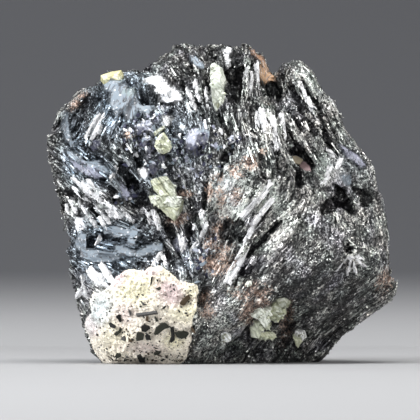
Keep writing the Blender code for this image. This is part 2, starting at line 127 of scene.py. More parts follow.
RUSTY_PLACES = [
    (-0.2, 19.9, 2.6, 1.1, 88, 1), (-1.5, 20.6, 2.4, 0.7, 86, 1), (3.2, 24, 1.7, 1.6, 0, 1),
    (1.6, 22.9, 1.9, 1.2, -40, 1), (4.7, 25.3, 1, 0.7, 0, 0.8), (-0.6, 22.2, 1.7, 1, 0, 0.7),
    (-2, 12.1, 1.7, 1.7, 0, 1), (-0.4, 12.1, 3.1, 2.6, 0, 1), (-0.8, 16.3, 1.7, 1.2, 60, 1),
    (-1.2, 14.4, 2.2, 1.7, 60, 0.9), (0.4, 13.5, 2.2, 1.2, -30, 0.9), (3.5, 6.4, 3.1, 2.4, 60, 1),
    (19.8, 9.8, 3, 2.2, 60, 0.9), (-17.6, 31.3, 2.9, 1.2, 40, 0.95),
    (-5.4, 17.2, 2.2, 1.2, 20, 1), (-4.5, 20.2, 1.9, 0.8, 0, 0.9), (7.6, 4.9, 5, 1.4, 80, 0.6),
    (-2.2, 7.9, 1.9, 1.2, 60, 0.6), (-1.8, 6.4, 1.7, 1.9, 60, 0.8), (-11.1, 27.3, 1.1, 1, 0, 0.9),
    (1.6, 20, 2.2, 1.4, 60, 0.7), (0.2, 17.4, 2.2, 0.7, -20, 0.6),
    (5.7, 35.1, 2.6, 1.2, -60, 0.5), (3.3, 8.7, 4.3, 1.9, 0, 0.7), (4.7, 7.5, 2.4, 1.2, 0, 0.7),
]
# Where laths lie thickest, and where grains show in place of plates.
LATH_PLACES = [
    (-15.6, 19, 14, 9, -50, 1), (-16.6, 10.4, 7, 5, -50, 0.9), (-15.3, 28.5, 6, 4, 60, 0.8),
    (2.4, 15, 13, 6, 50, 0.45), (-4.8, 14.5, 6, 5, -65, 0.6), (2.6, 32, 10, 8, 85, 0.6),
    (11, 30, 12, 7, -62, 0.6), (-10.6, 23.6, 6, 3, -60, 0.7),
]
LATHS_ON_BACK, LATHS_ON_FRONT = 0.5, 0.07
GRAINY_PLACES = [
    (-0.6, 4.6, 7, 8, 0, 1), (12.5, 8.5, 17, 12, 25, 1), (0.6, 21.2, 6, 5, 0, 0.6),
    (14.8, 16.3, 9, 8, 0, 1), (6.6, 15.2, 5, 8, 0, 0.7),
]
# Straight gaps between plates: X, Z, length, width, degrees and depth.
GAPS = [
    (-17.5, 18.1, 1.4, 0.7, -50, 0.7), (-9.9, 24.3, 2.8, 0.8, -60, 0.9),
    (-11.4, 21.9, 4.5, 0.9, -62, 1), (-10.8, 19.5, 3.1, 1.2, -55, 1.1),
    (-15.7, 24.3, 2.9, 0.6, -20, 0.6), (-18.6, 14.5, 1.2, 0.5, 90, 0.6),
    (2.8, 11.1, 1.9, 1, 30, 0.9), (9.5, 30.3, 7.2, 0.6, -62, 0.9),
    (12.3, 29.7, 5.5, 0.6, -60, 0.8), (7.8, 27.9, 6, 0.6, -62, 0.8),
    (-2.1, 20.7, 4.8, 0.6, 88, 0.8), (-3.9, 14.7, 4.3, 0.6, -80, 0.7),
    (3.9, 16.6, 5.2, 0.7, 48, 0.8), (4.9, 14.9, 6, 0.7, 48, 0.9),
    (-5.7, 14.7, 4.1, 0.6, -65, 0.7), (8.7, 29.4, 3.6, 0.6, -60, 0.8),
    (10.2, 32.6, 2.9, 0.5, -64, 0.8), (10, 30.3, 2.9, 0.4, -76, 0.6),
    (11.6, 29.7, 3.1, 0.6, -77, 1), (12.6, 27.1, 3.1, 0.8, -58, 1),
    (14.4, 29, 4.1, 0.5, -68, 0.7), (11.4, 33.7, 1.7, 0.4, -68, 0.6),
    (0.8, 25.5, 2.9, 0.8, 62, 1), (-0.2, 23, 2.4, 0.5, 80, 0.9), (-2.6, 30.6, 3.1, 0.5, -78, 0.9),
    (-0.1, 28.9, 3.6, 0.6, -60, 0.7), (6.4, 26.5, 3.6, 0.4, -78, 0.6),
    (7.4, 28.2, 4.1, 0.4, -76, 0.6), (4.7, 28.9, 2.4, 0.4, -80, 0.5),
    (3.5, 33.4, 4.8, 0.4, 86, 0.6), (-3.9, 32.1, 4.1, 0.4, -55, 0.6),
]
# Pockets and broken-out gaps of other shapes, by their outlines in X and Z.
OUTLINED_GAPS = [
    [(8, 25.2), (8.3, 25.6), (8.8, 25.9), (9.3, 25.6), (9.9, 25), (10.5, 24.3), (11, 23.6),
     (10.8, 23.1), (10.4, 23.4), (9.8, 24.1), (9.2, 24.7), (8.4, 24.8)],
    [(15.8, 21), (16.5, 20.6), (17.4, 20.5), (18, 19.9), (18, 19.3), (17.4, 18.9), (16.5, 18.8),
     (16.4, 19.4), (16.7, 19.8), (16.2, 20.1)],
    [(13.4, 21.4), (13.8, 21), (14.3, 20.5), (14.8, 19.8), (15.3, 18.9), (15.9, 18.2),
     (15.5, 17.7), (14.8, 18.2), (14, 18.7), (12.9, 18.8), (12, 18.9), (12.6, 19.5), (13.4, 19.8),
     (13.8, 20.1)],
    [(11.9, 18.4), (12.9, 18.9), (13.6, 18.6), (12.9, 18.1), (12, 17.8)],
    [(0.9, 37), (1.8, 37.5), (2.4, 36.8), (2.4, 35.4), (2.2, 33.9), (2.1, 32.5), (1.8, 31),
     (1.2, 31.2), (1.2, 32.5), (1, 33.4), (0.4, 33.7), (0.3, 34.6), (1, 35.4)],
    [(5.4, 33.9), (5.9, 34.4), (6.5, 33.2), (7, 31.9), (6.8, 31.3), (6, 31.8), (5.4, 32.7)],
    [(9, 23.4), (9.5, 23.4), (9.6, 22.3), (9.5, 21.1), (9, 21.2), (8.9, 22.3)],
    [(-9.8, 31.6), (-9.6, 32.4), (-8.7, 32.6), (-7.9, 32.2), (-7.5, 31.4), (-7.8, 30.9),
     (-8.8, 31), (-9.6, 31.2)],
    [(-16.3, 15.2), (-15.3, 15.2), (-14.8, 15.3), (-15.3, 14), (-16.2, 14)],
    [(-19.2, 20.7), (-18.1, 21), (-17.5, 20.1), (-17.7, 19.6), (-18.6, 20)],
    [(-17.2, 19.9), (-16.5, 20.4), (-15.7, 19.3), (-15.1, 18), (-14.5, 17.1), (-15.1, 17),
     (-16.2, 18.6)],
    [(-15.4, 22.5), (-14.6, 22.5), (-14, 22), (-14.1, 21.4), (-15, 21.6)],
    [(-14, 21), (-13.3, 21.2), (-12.8, 20.7), (-12.9, 18.9), (-13.6, 19.5)],
    [(-11.5, 24), (-11, 23.8), (-10.4, 22.2), (-9.4, 20.4), (-8.7, 18.9), (-9.3, 18.7),
     (-10.4, 20), (-11.2, 21.9)],
    [(-0.4, 16.5), (0.2, 17.1), (1.6, 17.4), (2.4, 16.5), (1.8, 15.2), (0.4, 14), (-0.4, 15)],
    [(5.8, 7.3), (6.4, 7), (6, 6.7)],
    [(7.7, 7.2), (8.2, 7.3), (8.3, 6.1), (7.8, 3.9), (7.4, 2), (6.9, 2.7), (7.4, 4.9)],
    [(-1.8, 37.8), (-0.4, 37.9), (-0.2, 36.3), (-1.3, 36.1), (-1.9, 36.7)],
    [(-15.6, 24.7), (-14.5, 24.6), (-14.2, 24.1), (-15.3, 24.2)],
    [(14.6, 14), (14.9, 14.2), (15.3, 13.9), (15.2, 13.4), (14.7, 13.4)],
]
OUTLINED_DEPTH = 1.0
# INK, CHARCOAL, STEEL, PEWTER and SILVER are the steps of the hematite's painted brightness, from
# painted shade to painted glint; some of them also colour faces, crystals and specks.
INK = (0.034, 0.034, 0.037, 1.0)
CHARCOAL = (0.115, 0.116, 0.120, 1.0)
STEEL = (0.30, 0.305, 0.31, 1.0)
PEWTER = (0.62, 0.63, 0.63, 1.0)
SILVER = (0.97, 0.97, 0.97, 1.0)
# Near white: the painted highlight on flat faces, flecks and chips of hematite, and the white of
# one pale crystal.
GLINT_AND_CRYSTAL_WHITE = (0.95, 0.96, 0.98, 1.0)
COOL_TINT = (0.72, 0.86, 1.0, 1.0)
GREENISH_TINT = (0.93, 1.0, 0.93, 1.0)
WARM_TINT = (1.0, 0.96, 0.91, 1.0)
LILAC_TINT = (0.92, 0.89, 1.0, 1.0)
PEACH = (0.88, 0.67, 0.55, 1.0)
BROWN = (0.13, 0.068, 0.045, 1.0)
SLATE_BLUE = (0.175, 0.213, 0.25, 1.0)
GREEN_SLATE = (0.20, 0.25, 0.26, 1.0)
PALE_BLUE = (0.22, 0.265, 0.31, 1.0)
LAVENDER = (0.31, 0.32, 0.40, 1.0)
PALE_LAVENDER = (0.40, 0.42, 0.50, 1.0)
OLD_ORANGE = (0.34, 0.19, 0.11, 1.0)
PALE_ORANGE = (0.50, 0.31, 0.18, 1.0)
PINKISH = (0.36, 0.25, 0.25, 1.0)
OLIVE = (0.20, 0.17, 0.12, 1.0)
NAVY = (0.030, 0.032, 0.065, 1.0)
LEAF_EDGE = (0.08, 0.082, 0.09, 1.0)
STRAW = (0.52, 0.54, 0.38, 1.0)
PALE_STRAW = (0.68, 0.71, 0.56, 1.0)
DEEP_STRAW = (0.24, 0.25, 0.17, 1.0)
GREEN_WHITE = (0.90, 0.93, 0.84, 1.0)
CELADON = (0.47, 0.50, 0.44, 1.0)
LEMON = (0.66, 0.61, 0.32, 1.0)
# Flat faces of broad plates in the surface: colour, and outline in X and Z. The near-white faces
# are painted highlights.
FLAT_FACES = [
    (PALE_BLUE, [(-14.4, 33.8), (-13.3, 33.9), (-12.1, 33.9), (-12.3, 33.2), (-13.3, 32.5),
     (-14, 32.6)]),
    (SLATE_BLUE, [(-13.4, 32.2), (-12.6, 33.1), (-11.5, 33.4), (-11.4, 32.5), (-12, 31.8),
     (-13.2, 31.8)]),
    (GREEN_SLATE, [(-11.6, 32.4), (-11.2, 32.8), (-10.6, 33), (-10.3, 32.5), (-10.6, 31.4),
     (-11.2, 30.9), (-11.6, 31.5)]),
    (SLATE_BLUE, [(-13.5, 32), (-12.1, 31.9), (-11.4, 31.2), (-11.6, 30.1), (-12.3, 29.8),
     (-12.6, 29.2), (-13.2, 30.2)]),
    (PALE_BLUE, [(-11.5, 31), (-10.6, 31.6), (-10.2, 31.3), (-10.3, 30.1), (-10.8, 29.2),
     (-11.4, 29.2), (-11.7, 30.2)]),
    (PALE_BLUE, [(-10.3, 31.8), (-9.6, 31), (-8.7, 30.9), (-8.2, 30.4), (-8.7, 29.8),
     (-9.7, 30.2), (-10.4, 30.8)]),
    (SLATE_BLUE, [(-19.5, 30.1), (-19, 30.6), (-18.8, 29.4), (-18.3, 27.9), (-17.8, 26.1),
     (-18.3, 25.9), (-19, 27), (-19.5, 28.4)]),
    (GLINT_AND_CRYSTAL_WHITE, [(-9.3, 34), (-8.5, 34.4), (-7.5, 34.5), (-6.8, 33.9), (-6.1, 33.1),
     (-5.1, 32.4), (-4.9, 31.6), (-5.7, 31.5), (-6.7, 31), (-7.3, 31.4), (-7.8, 32.4),
     (-8.4, 33.2)]),
    (GLINT_AND_CRYSTAL_WHITE, [(-13.9, 18.8), (-13, 18.8), (-12.4, 18.4), (-11.8, 17.7), (-12, 17.2),
     (-12.6, 17), (-13.3, 17.5)]),
    (GLINT_AND_CRYSTAL_WHITE, [(-17.6, 17.5), (-17.1, 17.2), (-16.6, 16.5), (-16.9, 15.4), (-17.4, 15.8),
     (-17.7, 16.6)]),
    (PALE_BLUE, [(-18.8, 25.5), (-17.8, 25.2), (-16.6, 24.4), (-15.4, 24), (-14, 23.4),
     (-13.6, 22.6), (-14.6, 22.9), (-15.9, 23.5), (-17.4, 24.2), (-18.6, 24.7)]),
    (LAVENDER, [(-18.2, 24.1), (-16.6, 23.5), (-15.1, 22.8), (-14.2, 22.2), (-15.3, 22.3),
     (-16.9, 22.9), (-18.2, 23.6)]),
    (SLATE_BLUE, [(-17.1, 13.4), (-15.7, 13.8), (-14.2, 13.6), (-13, 13.2), (-12.1, 12.6),
     (-13.5, 12.1), (-15.4, 12), (-16.9, 12.6)]),
    (PALE_BLUE, [(-14.5, 16.4), (-13, 16.6), (-11.5, 16.3), (-11, 15.7), (-12.3, 15.2),
     (-14, 15.4)]),
    (SLATE_BLUE, [(-13.3, 14.2), (-11.6, 14), (-10.6, 13.5), (-11.1, 12.7), (-12.6, 13.2)]),
    (SLATE_BLUE, [(-17.6, 15.2), (-16.4, 15.7), (-16.3, 13.9), (-16.9, 13.3), (-17.7, 13.9)]),
    (PALE_BLUE, [(-10.9, 16.4), (-10.3, 16.6), (-10, 15.2), (-10.9, 14.1), (-11.4, 14.7)]),
    (SLATE_BLUE, [(-10.4, 13.3), (-9.4, 13.9), (-8.2, 14.4), (-7.2, 14.4), (-7, 13.6),
     (-8.7, 13.2), (-10.2, 12.7)]),
    (SLATE_BLUE, [(14.1, 22.4), (14.8, 22.8), (15.5, 22.3), (15.4, 21.4), (14.7, 21.3)]),
    (GLINT_AND_CRYSTAL_WHITE, [(-9.8, 23.2), (-9, 23.4), (-8.7, 22.6), (-9.2, 22.2), (-9.7, 22.5)]),
    (LAVENDER, [(-5.4, 15), (-4.6, 15.2), (-4.3, 14.1), (-4.6, 13.3), (-5.4, 13.8)]),
    (PALE_BLUE, [(-3.8, 36.9), (-3.1, 36.7), (-2.4, 36.1), (-2.4, 35.5), (-3.1, 35.7),
     (-3.7, 36.3)]),
    (PEWTER, [(0, 37.3), (0.8, 36.9), (1.2, 35.4), (0.8, 35.1), (0.3, 36.1)]),
    (GLINT_AND_CRYSTAL_WHITE, [(0, 37.5), (0.6, 38), (1.1, 37.9), (1, 37.4), (0.3, 37.2)]),
    (PEWTER, [(-7.3, 29.4), (-6.6, 29.7), (-6, 29.1), (-6.3, 28.4), (-7, 28.5)]),
    (PALE_LAVENDER, [(-10.5, 28.6), (-9.7, 28.8), (-9, 28.4), (-8.2, 27.8), (-9.2, 27.7),
     (-10.3, 27.9)]),
    (LAVENDER, [(-12.4, 21.7), (-11.7, 21.4), (-11, 20.1), (-11.4, 19.3), (-12.2, 20.4)]),
    (OLD_ORANGE, [(3.3, 37.8), (4.1, 37.5), (5, 36.8), (5.4, 36.1), (5.8, 35.1), (5.4, 34.6),
     (5, 35.6), (4.5, 36.4), (3.8, 37.2)]),
    (PALE_ORANGE, [(4.6, 35.7), (5.2, 35.4), (5.7, 35.4), (6, 34.5), (5.7, 33.9), (5.2, 33.3),
     (4.7, 33.6), (4.5, 34.6)]),
    (NAVY, [(-10.5, 27.8), (-9.9, 28), (-9.4, 27.7), (-9.8, 27.2), (-10.4, 27.3)]),
    (NAVY, [(-10, 26.1), (-9.6, 26.7), (-9, 26.5), (-9.3, 25.8), (-9.9, 25.8)]),
    (NAVY, [(-9.2, 25.6), (-8.5, 25.9), (-8.2, 25.4), (-8.7, 25), (-9.2, 25.3)]),
    (NAVY, [(-9.4, 24.9), (-8.7, 25), (-8.5, 24.7), (-9.1, 24.4)]),
    (NAVY, [(-15.9, 25.9), (-15.4, 26.7), (-14.8, 26.6), (-15, 25.6), (-15.6, 25.3)]),
    (NAVY, [(-8.2, 29.2), (-7.8, 29.4), (-7.8, 28.8), (-8.1, 28.8)]),
    (PALE_LAVENDER, [(-4.5, 26.7), (-3.9, 27.8), (-3.1, 28.3), (-2.5, 27.6), (-2.7, 26.1),
     (-3.1, 24.9), (-3.6, 25.2), (-4.4, 26)]),
    (PALE_BLUE, [(-2.6, 28.9), (-2.1, 29), (-1.6, 27.8), (-1.5, 26.7), (-2, 26.8), (-2.5, 27.8)]),
    (LAVENDER, [(14, 26.2), (14.4, 26.1), (15.3, 25.4), (16.2, 24.9), (16.8, 24.3), (17.2, 23.6),
     (16.6, 23.4), (15.9, 23.8), (15.2, 24.6), (14.6, 25.4)]),
    (NAVY, [(-2.6, 27.1), (-2.1, 27.2), (-1.8, 26.2), (-2.5, 25.9), (-3, 25.5)]),
    (NAVY, [(-4.6, 25.9), (-4, 26), (-3.7, 25.4), (-4.3, 25)]),
    (NAVY, [(-3.6, 25), (-2.8, 25.6), (-2.5, 25.2), (-3.1, 24.7)]),
    (NAVY, [(-7.5, 24.8), (-6.9, 24.8), (-6.6, 24.3), (-7, 23.8), (-7.5, 24.2)]),
    (NAVY, [(-8.7, 23.7), (-8, 23.8), (-7.6, 23.2), (-8, 22.4), (-8.6, 22.8)]),
]
# Plates that stand proud: colour, and outline in X and Z.
PROUD_PLATES = [
    (PINKISH, [(9, 24.2), (9.8, 24.1), (10.4, 23.5), (10.5, 22.9), (9.8, 22.9), (9.2, 23.5)]),
    (OLIVE, [(7.8, 24.8), (8.8, 24.8), (9.6, 24.3), (9.2, 23.8), (8.4, 24), (7.8, 24.3)]),
]
# Pale crystals between the plates: colour, and outline in X and Z.
PALE_CRYSTALS = [
    (STRAW, [(-7.5, 27.3), (-7, 27.6), (-6.6, 27.1), (-6.2, 26.4), (-6, 25.8), (-6.3, 25.3),
     (-7, 25), (-7.6, 25.2), (-8.1, 25.9), (-7.9, 26.7)]),
    (DEEP_STRAW, [(-8.2, 27.6), (-7.6, 28), (-6.9, 28.4), (-6.8, 28), (-7.5, 27.6), (-8, 27.1)]),
    (STRAW, [(-8.7, 21.9), (-7.8, 22.2), (-6.8, 20.7), (-6.2, 20), (-7.3, 19.9), (-8.1, 20.7)]),
    (PALE_STRAW, [(-7.6, 22.3), (-6.6, 22.4), (-5.6, 21.1), (-5.4, 19.9), (-6.3, 19.9),
     (-7, 21.1)]),
    (PALE_STRAW, [(-8.8, 20), (-7.5, 20.2), (-6.3, 19.9), (-6.2, 18.9), (-7.5, 18.6),
     (-8.5, 19.2)]),
    # The shaded side of the crystals beside it, painted darker as painted shade.
    (DEEP_STRAW, [(-5.2, 19.9), (-4.6, 19.5), (-4.8, 18.3), (-5.5, 17.2), (-5.4, 18.8)]),
    (STRAW, [(-7.5, 18.6), (-6.3, 19), (-5, 18.8), (-5.1, 18), (-5.7, 17), (-6.6, 17.7)]),
    (GREEN_WHITE, [(-7, 19.9), (-6.1, 20.1), (-5.1, 20), (-5, 19), (-5.8, 18.6), (-6.8, 19)]),
    (CELADON, [(-1.4, 35.7), (-1, 35.9), (-0.6, 35.6), (0, 35.2), (0.1, 34.7), (0.4, 33.9),
     (0.1, 33.3), (0.1, 32.8), (-0.6, 32.5), (-1.4, 32.8), (-1.5, 34.3)]),
    (CELADON, [(-1.4, 33), (-0.4, 32.9), (0.1, 32.6), (0.3, 31.9), (0.1, 31.1), (-0.4, 30.6),
     (-0.7, 30.1), (-1.1, 30.7), (-1.3, 31.7)]),
    (LEMON, [(-14.6, 34.4), (-13.3, 34.5), (-11.8, 34.4), (-12.2, 33.9), (-13.3, 33.9),
     (-14.2, 33.9)]),
    (GREEN_WHITE, [(4.7, 7), (5.1, 6.3), (5.9, 6.6), (5.4, 5.8), (5.7, 5.1), (5.2, 4.4),
     (4.7, 4.9), (4.2, 5.5), (3.4, 5.7), (4.2, 6.2)]),
    (DEEP_STRAW, [(6.3, 7.8), (7.4, 8), (8.2, 7.4), (7.8, 6.8), (7.2, 6.8), (6.4, 7.2)]),
    (STRAW, [(5.7, 6.3), (6.4, 6.8), (7.4, 6.7), (7.6, 6), (7, 5.4), (6, 5.2), (5.7, 5.7)]),
    (PALE_STRAW, [(4.7, 4.9), (5.4, 5.4), (5.8, 4.6), (5.2, 4)]),
    (PALE_STRAW, [(3.8, 4.9), (4.6, 5.1), (4.8, 4.2), (4, 3.8)]),
    (STRAW, [(4.2, 3.8), (5, 3.7), (6.3, 3.4), (6.5, 3.1), (5.4, 3), (4, 3.2)]),
    (SILVER, [(8.7, 4), (9.4, 3.9), (9.8, 3.3), (9.3, 3), (8.6, 3.1)]),
    (STRAW, [(8.4, 3.1), (9.3, 3), (9.6, 2.6), (9, 1.9), (8.6, 2.4)]),
    (GLINT_AND_CRYSTAL_WHITE, [(-0.2, 3.7), (0.4, 3.9), (1, 3.5), (0.9, 2.9), (0.3, 2.6), (-0.2, 2.8)]),
    (GREEN_WHITE, [(4.1, 6.6), (4.7, 6.8), (5, 6.1), (4.6, 5.4), (4, 5.6)]),
    (PALE_STRAW, [(3.3, 4.2), (4.1, 4.9), (4.7, 4.2), (4.2, 3.1), (3.4, 3.2)]),
    (STRAW, [(5.2, 6.3), (6.4, 7.5), (7.4, 7.2), (7.1, 5.8), (6.2, 5.1), (5.2, 5.4)]),
    (GREEN_WHITE, [(2.8, 9.8), (3.3, 10), (3.4, 9.4), (2.9, 9.2)]),
    (SILVER, [(8.9, 4), (9.8, 4), (10.1, 3.1), (9.4, 2.6), (8.8, 3.2)]),
    (GREEN_WHITE, [(-6.9, 19.7), (-6, 20.3), (-5, 19.9), (-4.9, 19.1), (-5.6, 18.5), (-6.5, 18.9)]),
]
EDGE_RISE = 3.0  # how quickly a place begins inside its outline
FRONT_DEPTH = 4.0  # what is further forward than this counts as seen from the front
REST_MARGIN, REST_RISE = 0.15, 0.8  # the relief starts above the face it rests on, and grows

# Unevenness: how much, how far apart in millimetres, and a shift that keeps each kind apart.
GAP_EDGE = (0.5, 0.7, 31.0)
FACE_EDGE = (0.12, 0.7, 37.0)
FLANK_GRAINS = [(0.25, 0.95, 11.0), (0.16, 0.55, 13.0)]
GROOVE_CHANGE = (0.9, 3.4, 23.0)
RUST_CHANGE = (0.9, 0.8, 19.0)
LATH_CHANGE = (1.6, 2.6, 29.0)

# Marks drawn out along the plates: span across them, shift, and for grooves their width and depth.
STREAKS = (0.6, 17.0)
BUNDLE_GROOVES = (1.55, 3.0, 0.30, 0.8)
PLATE_GROOVES = (0.8, 5.0, 0.36, 0.36)
CREST_HEIGHT = 0.16
MOST_OUTWARD = 0.20
BUNDLES = 3200
BUNDLE_SLIM = 0.9  # near 1 for bundles that are long along their plates
BUNDLE_STEP = 0.22
RUN_LENGTH = 0.92  # how far the fine marks are drawn out along the plates: at 1 they never end
UNDER_FACES = 0.14  # how far the mass is levelled under the flat faces
UNDER_BLOCK = 0.5  # how far the mass lies under the surface of the block


def share(values):
    """The values held between 0 and 1."""
    return np.clip(values, 0.0, 1.0)


def unit(rows):
    return rows / np.maximum(np.linalg.norm(rows, axis=1, keepdims=True), 1e-9)


def run_of_plates(at):
    """The angle of the plates in the XZ plane at each row of a table of points in millimetres."""
    doubled = np.zeros((len(at), 2))
    for x, z, degrees in GRAIN:
        away = (at[:, 0] - x) ** 2 + (at[:, 2] - z) ** 2
        weight = np.exp(-away / (2.0 * GRAIN_REACH**2)) + 1e-9
        turned = math.radians(2 * degrees)
        doubled += weight[:, None] * np.array((math.cos(turned), math.sin(turned)))
    return np.arctan2(doubled[:, 1], doubled[:, 0]) / 2.0


def noise_at(at, span, shift=0.0):
    """Smooth noise between about -1 and 1 at each point of a table."""
    return np.array([noise.noise(point) for point in (at / span + shift).tolist()])


def uneven(at, *kinds, base=0.0):
    """A base level with one or more kinds of unevenness on it."""
    for amount, span, shift in kinds:
        base = base + amount * noise_at(at, span, shift)
    return base


def along_the_plates(at, facing):
    """The direction of the plates' edges in a surface, and how squarely the plates stand in it."""
    angle = run_of_plates(at)
    twist = GRAIN_TWIST * noise_at(at, GRAIN_TWIST_SPAN)
    plate_faces = unit(np.stack([-np.sin(angle), twist, np.cos(angle)], axis=1))
    along = np.cross(plate_faces, facing)
    standing = np.linalg.norm(along, axis=1)
    return unit(along), standing


def drawn_out_noise(at, along, span, shift, steps=4, stride=0.62, gain=2.4):
    """Noise that changes quickly across the plates and slowly along them."""
    total = np.zeros(len(at))
    for step in range(-steps, steps + 1):
        total += noise_at(at + along * step * stride * span, span, shift)
    return gain * total / (2 * steps + 1)


def grooves(at, along, kind):
    """Long narrow grooves between bundles of plates, from 0 to 1."""
    span, shift, width, _ = kind
    return share(1.0 - np.abs(drawn_out_noise(at, along, span, shift)) / width)


def bundle_at(at, middles, ways, parts=24):
    """The number of the bundle that each point is in, worked out a part of the table at a time."""
    chosen = []
    for part in np.array_split(at, parts):
        away = (middles**2).sum(axis=1) - 2.0 * part @ middles.T
        lengthwise = part @ ways.T - (middles * ways).sum(axis=1)
        chosen.append(np.argmin(away - BUNDLE_SLIM * lengthwise**2, axis=1))
    return np.concatenate(chosen)


def seen_from_front(at):
    return share(-at[:, 1] / FRONT_DEPTH)


def out_from_middle(at, x, z, length, width, degrees, power):
    """How far out each point is from the middle of a place: 1 on the place's own edge."""
    turned = math.radians(degrees)
    right, up = at[:, 0] - x, at[:, 2] - z
    lengthwise = np.abs(right * math.cos(turned) + up * math.sin(turned)) / (0.5 * length)
    across = np.abs(up * math.cos(turned) - right * math.sin(turned)) / (0.5 * width)
    return lengthwise**power + across**power


def amount_at(at, places):
    """How much of a list of soft-edged places each point is in, from 0 to 1, on the front alone."""
    most = np.zeros(len(at))
    for x, z, length, width, degrees, amount in places:
        out = out_from_middle(at, x, z, length, width, degrees, 2.0)
        most = np.maximum(most, amount * np.exp(-0.7 * out**1.5))
    return most * seen_from_front(at)


def inside(at, outline):
    """Distance inside an outline in X and Z in millimetres, below zero outside."""
    corners = np.array(outline)
    here = at[:, [0, 2]]
    nearest = np.full(len(at), 1e9)
    crossed = np.zeros(len(at), bool)
    for start, end in zip(corners, np.roll(corners, -1, axis=0)):
        edge = end - start
        part = np.clip((here - start) @ edge / (edge @ edge), 0.0, 1.0)
        nearest = np.minimum(nearest, np.linalg.norm(here - start - part[:, None] * edge, axis=1))
        spans = (start[1] > here[:, 1]) != (end[1] > here[:, 1])
        if edge[1]:
            crossed ^= spans & (here[:, 0] < start[0] + edge[0] * (here[:, 1] - start[1]) / edge[1])
    return np.where(crossed, nearest, -nearest)


def depth_of_gaps(at):
    """The depth of the gaps and pockets between plates, in millimetres."""
    edge = uneven(at, GAP_EDGE, base=1.3)
    most = np.zeros(len(at))
    for x, z, length, width, degrees, depth in GAPS:
        out = out_from_middle(at, x, z, length, width, degrees, 4.0)
        most = np.maximum(most, depth * share((edge - out) * 1.5))
    for outline in OUTLINED_GAPS:
        most = np.maximum(most, OUTLINED_DEPTH * share(inside(at, outline) * EDGE_RISE + 0.5))
    return most * seen_from_front(at)


def table_of(rows, field):
    """One field of a mesh's corners or normals, as a table."""
    table = np.empty(len(rows) * 3)
    rows.foreach_get(field, table)
    return table.reshape(-1, 3)


def surface_of(piece):
    """The corners of a piece in millimetres, and the way that the surface faces at each."""
    mesh = piece.data
    return table_of(mesh.vertices, "co") / MM, unit(table_of(mesh.vertex_normals, "vector"))


def keep_on_mesh(piece, where="POINT", **tables):
    """Stores numbers or directions at corners or faces, for the plates and materials to read."""
    for name, values in tables.items():
        kind, field = ("FLOAT_VECTOR", "vector") if values.ndim == 2 else ("FLOAT", "value")
        kept_values = piece.data.attributes.new(name, kind, where).data
        kept_values.foreach_set(field, values.astype(np.float32).ravel())


def new_object(name, data):
    made = bpy.data.objects.new(name, data)
    bpy.context.scene.collection.objects.link(made)
    return made


def built(name, bm):
    """A new object with the mesh just built."""
    mesh = bpy.data.meshes.new(name)
    bm.to_mesh(mesh)
    bm.free()
    return new_object(name, mesh)


def cover(piece, material):
    piece.data.materials.clear()
    piece.data.materials.append(material)


def plain_mesh(piece):
    """The piece's mesh with its modifiers applied, on the piece itself."""
    shaped = piece.evaluated_get(bpy.context.evaluated_depsgraph_get())
    mesh = bpy.data.meshes.new_from_object(shaped)
    piece.modifiers.clear()
    piece.data = mesh
    return mesh


def copy_of_solid(name):
    """A copy of the solid with its corners joined."""
    bm = bmesh.new()
    bm.from_mesh(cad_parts["hematite_rose"].data)
    bmesh.ops.remove_doubles(bm, verts=bm.verts, dist=1e-6)
    return built(name, bm)


def even_faces(piece, size):
    """Covers the piece in small faces of one size."""
    even = piece.modifiers.new("even_faces", "REMESH")
    even.mode = "VOXEL"
    even.voxel_size = size
    plain_mesh(piece)


def push_out(piece, at, facing, height):
    """Moves each corner out by a height in millimetres. The face it rests on stays flat."""
    level = share((at[:, 2] - REST_MARGIN) / REST_RISE)
    at = at + facing * (height * level)[:, None]
    piece.data.vertices.foreach_set("co", (at * MM).ravel())
    piece.data.update()
    return at


skin = copy_of_solid("rose_mass")
even_faces(skin, SKIN_VOXEL)
at, facing = surface_of(skin)
along, standing = along_the_plates(at, facing)
in_block = share(inside(at, BLOCK_OUTLINE) * EDGE_RISE) * (at[:, 1] < BLOCK_BACK)
flank = share(2.0 - 2.0 * np.linalg.norm(at - FLANK_MIDDLE, axis=1) / FLANK_REACH)
flank = np.maximum(flank, amount_at(at, GRAINY_PLACES))
levelled, leaf, leaf_tint = np.zeros(len(at)), np.zeros(len(at)), np.zeros((len(at), 3))
ragged = uneven(at, FACE_EDGE)
for tint, outline in FLAT_FACES + PROUD_PLATES + PALE_CRYSTALS:
    within = inside(at, outline) + ragged
    levelled = np.maximum(levelled, share(within * 4.0 + 1.1))
    if (tint, outline) in FLAT_FACES:
        leaf_tint[within > -0.45] = tint[:3]
        leaf = np.maximum(leaf, share(within * 5.0 + 1.1))
levelled *= seen_from_front(at)
leaf *= seen_from_front(at)

draw = np.random.default_rng(5)
middles = draw.choice(len(at), BUNDLES, replace=False)
ways, middles = along[middles], at[middles]
bundle = bundle_at(at, middles, ways)
step = draw.uniform(-1.0, 1.0, BUNDLES)[bundle]
in_plates = np.minimum(1.0, standing * 1.6) * (1.0 - flank) * (1.0 - in_block)
deep = BUNDLE_GROOVES[3] * np.clip(uneven(at, GROOVE_CHANGE, base=0.6), 0.05, 1.0)
relief = CREST_HEIGHT - deep * grooves(at, along, BUNDLE_GROOVES) - BUNDLE_STEP * (0.5 + 0.5 * step)
relief -= PLATE_GROOVES[3] * grooves(at, along, PLATE_GROOVES)
gap = depth_of_gaps(at)
clear = 1.0 - share(gap * 2.0)
grains = uneven(at, *FLANK_GRAINS, base=0.12)
relief = in_plates * relief + (1.0 - in_plates) * grains - gap - UNDER_BLOCK * in_block
relief += levelled * (-UNDER_FACES - relief)
at = push_out(skin, at, facing, np.minimum(relief, MOST_OUTWARD))
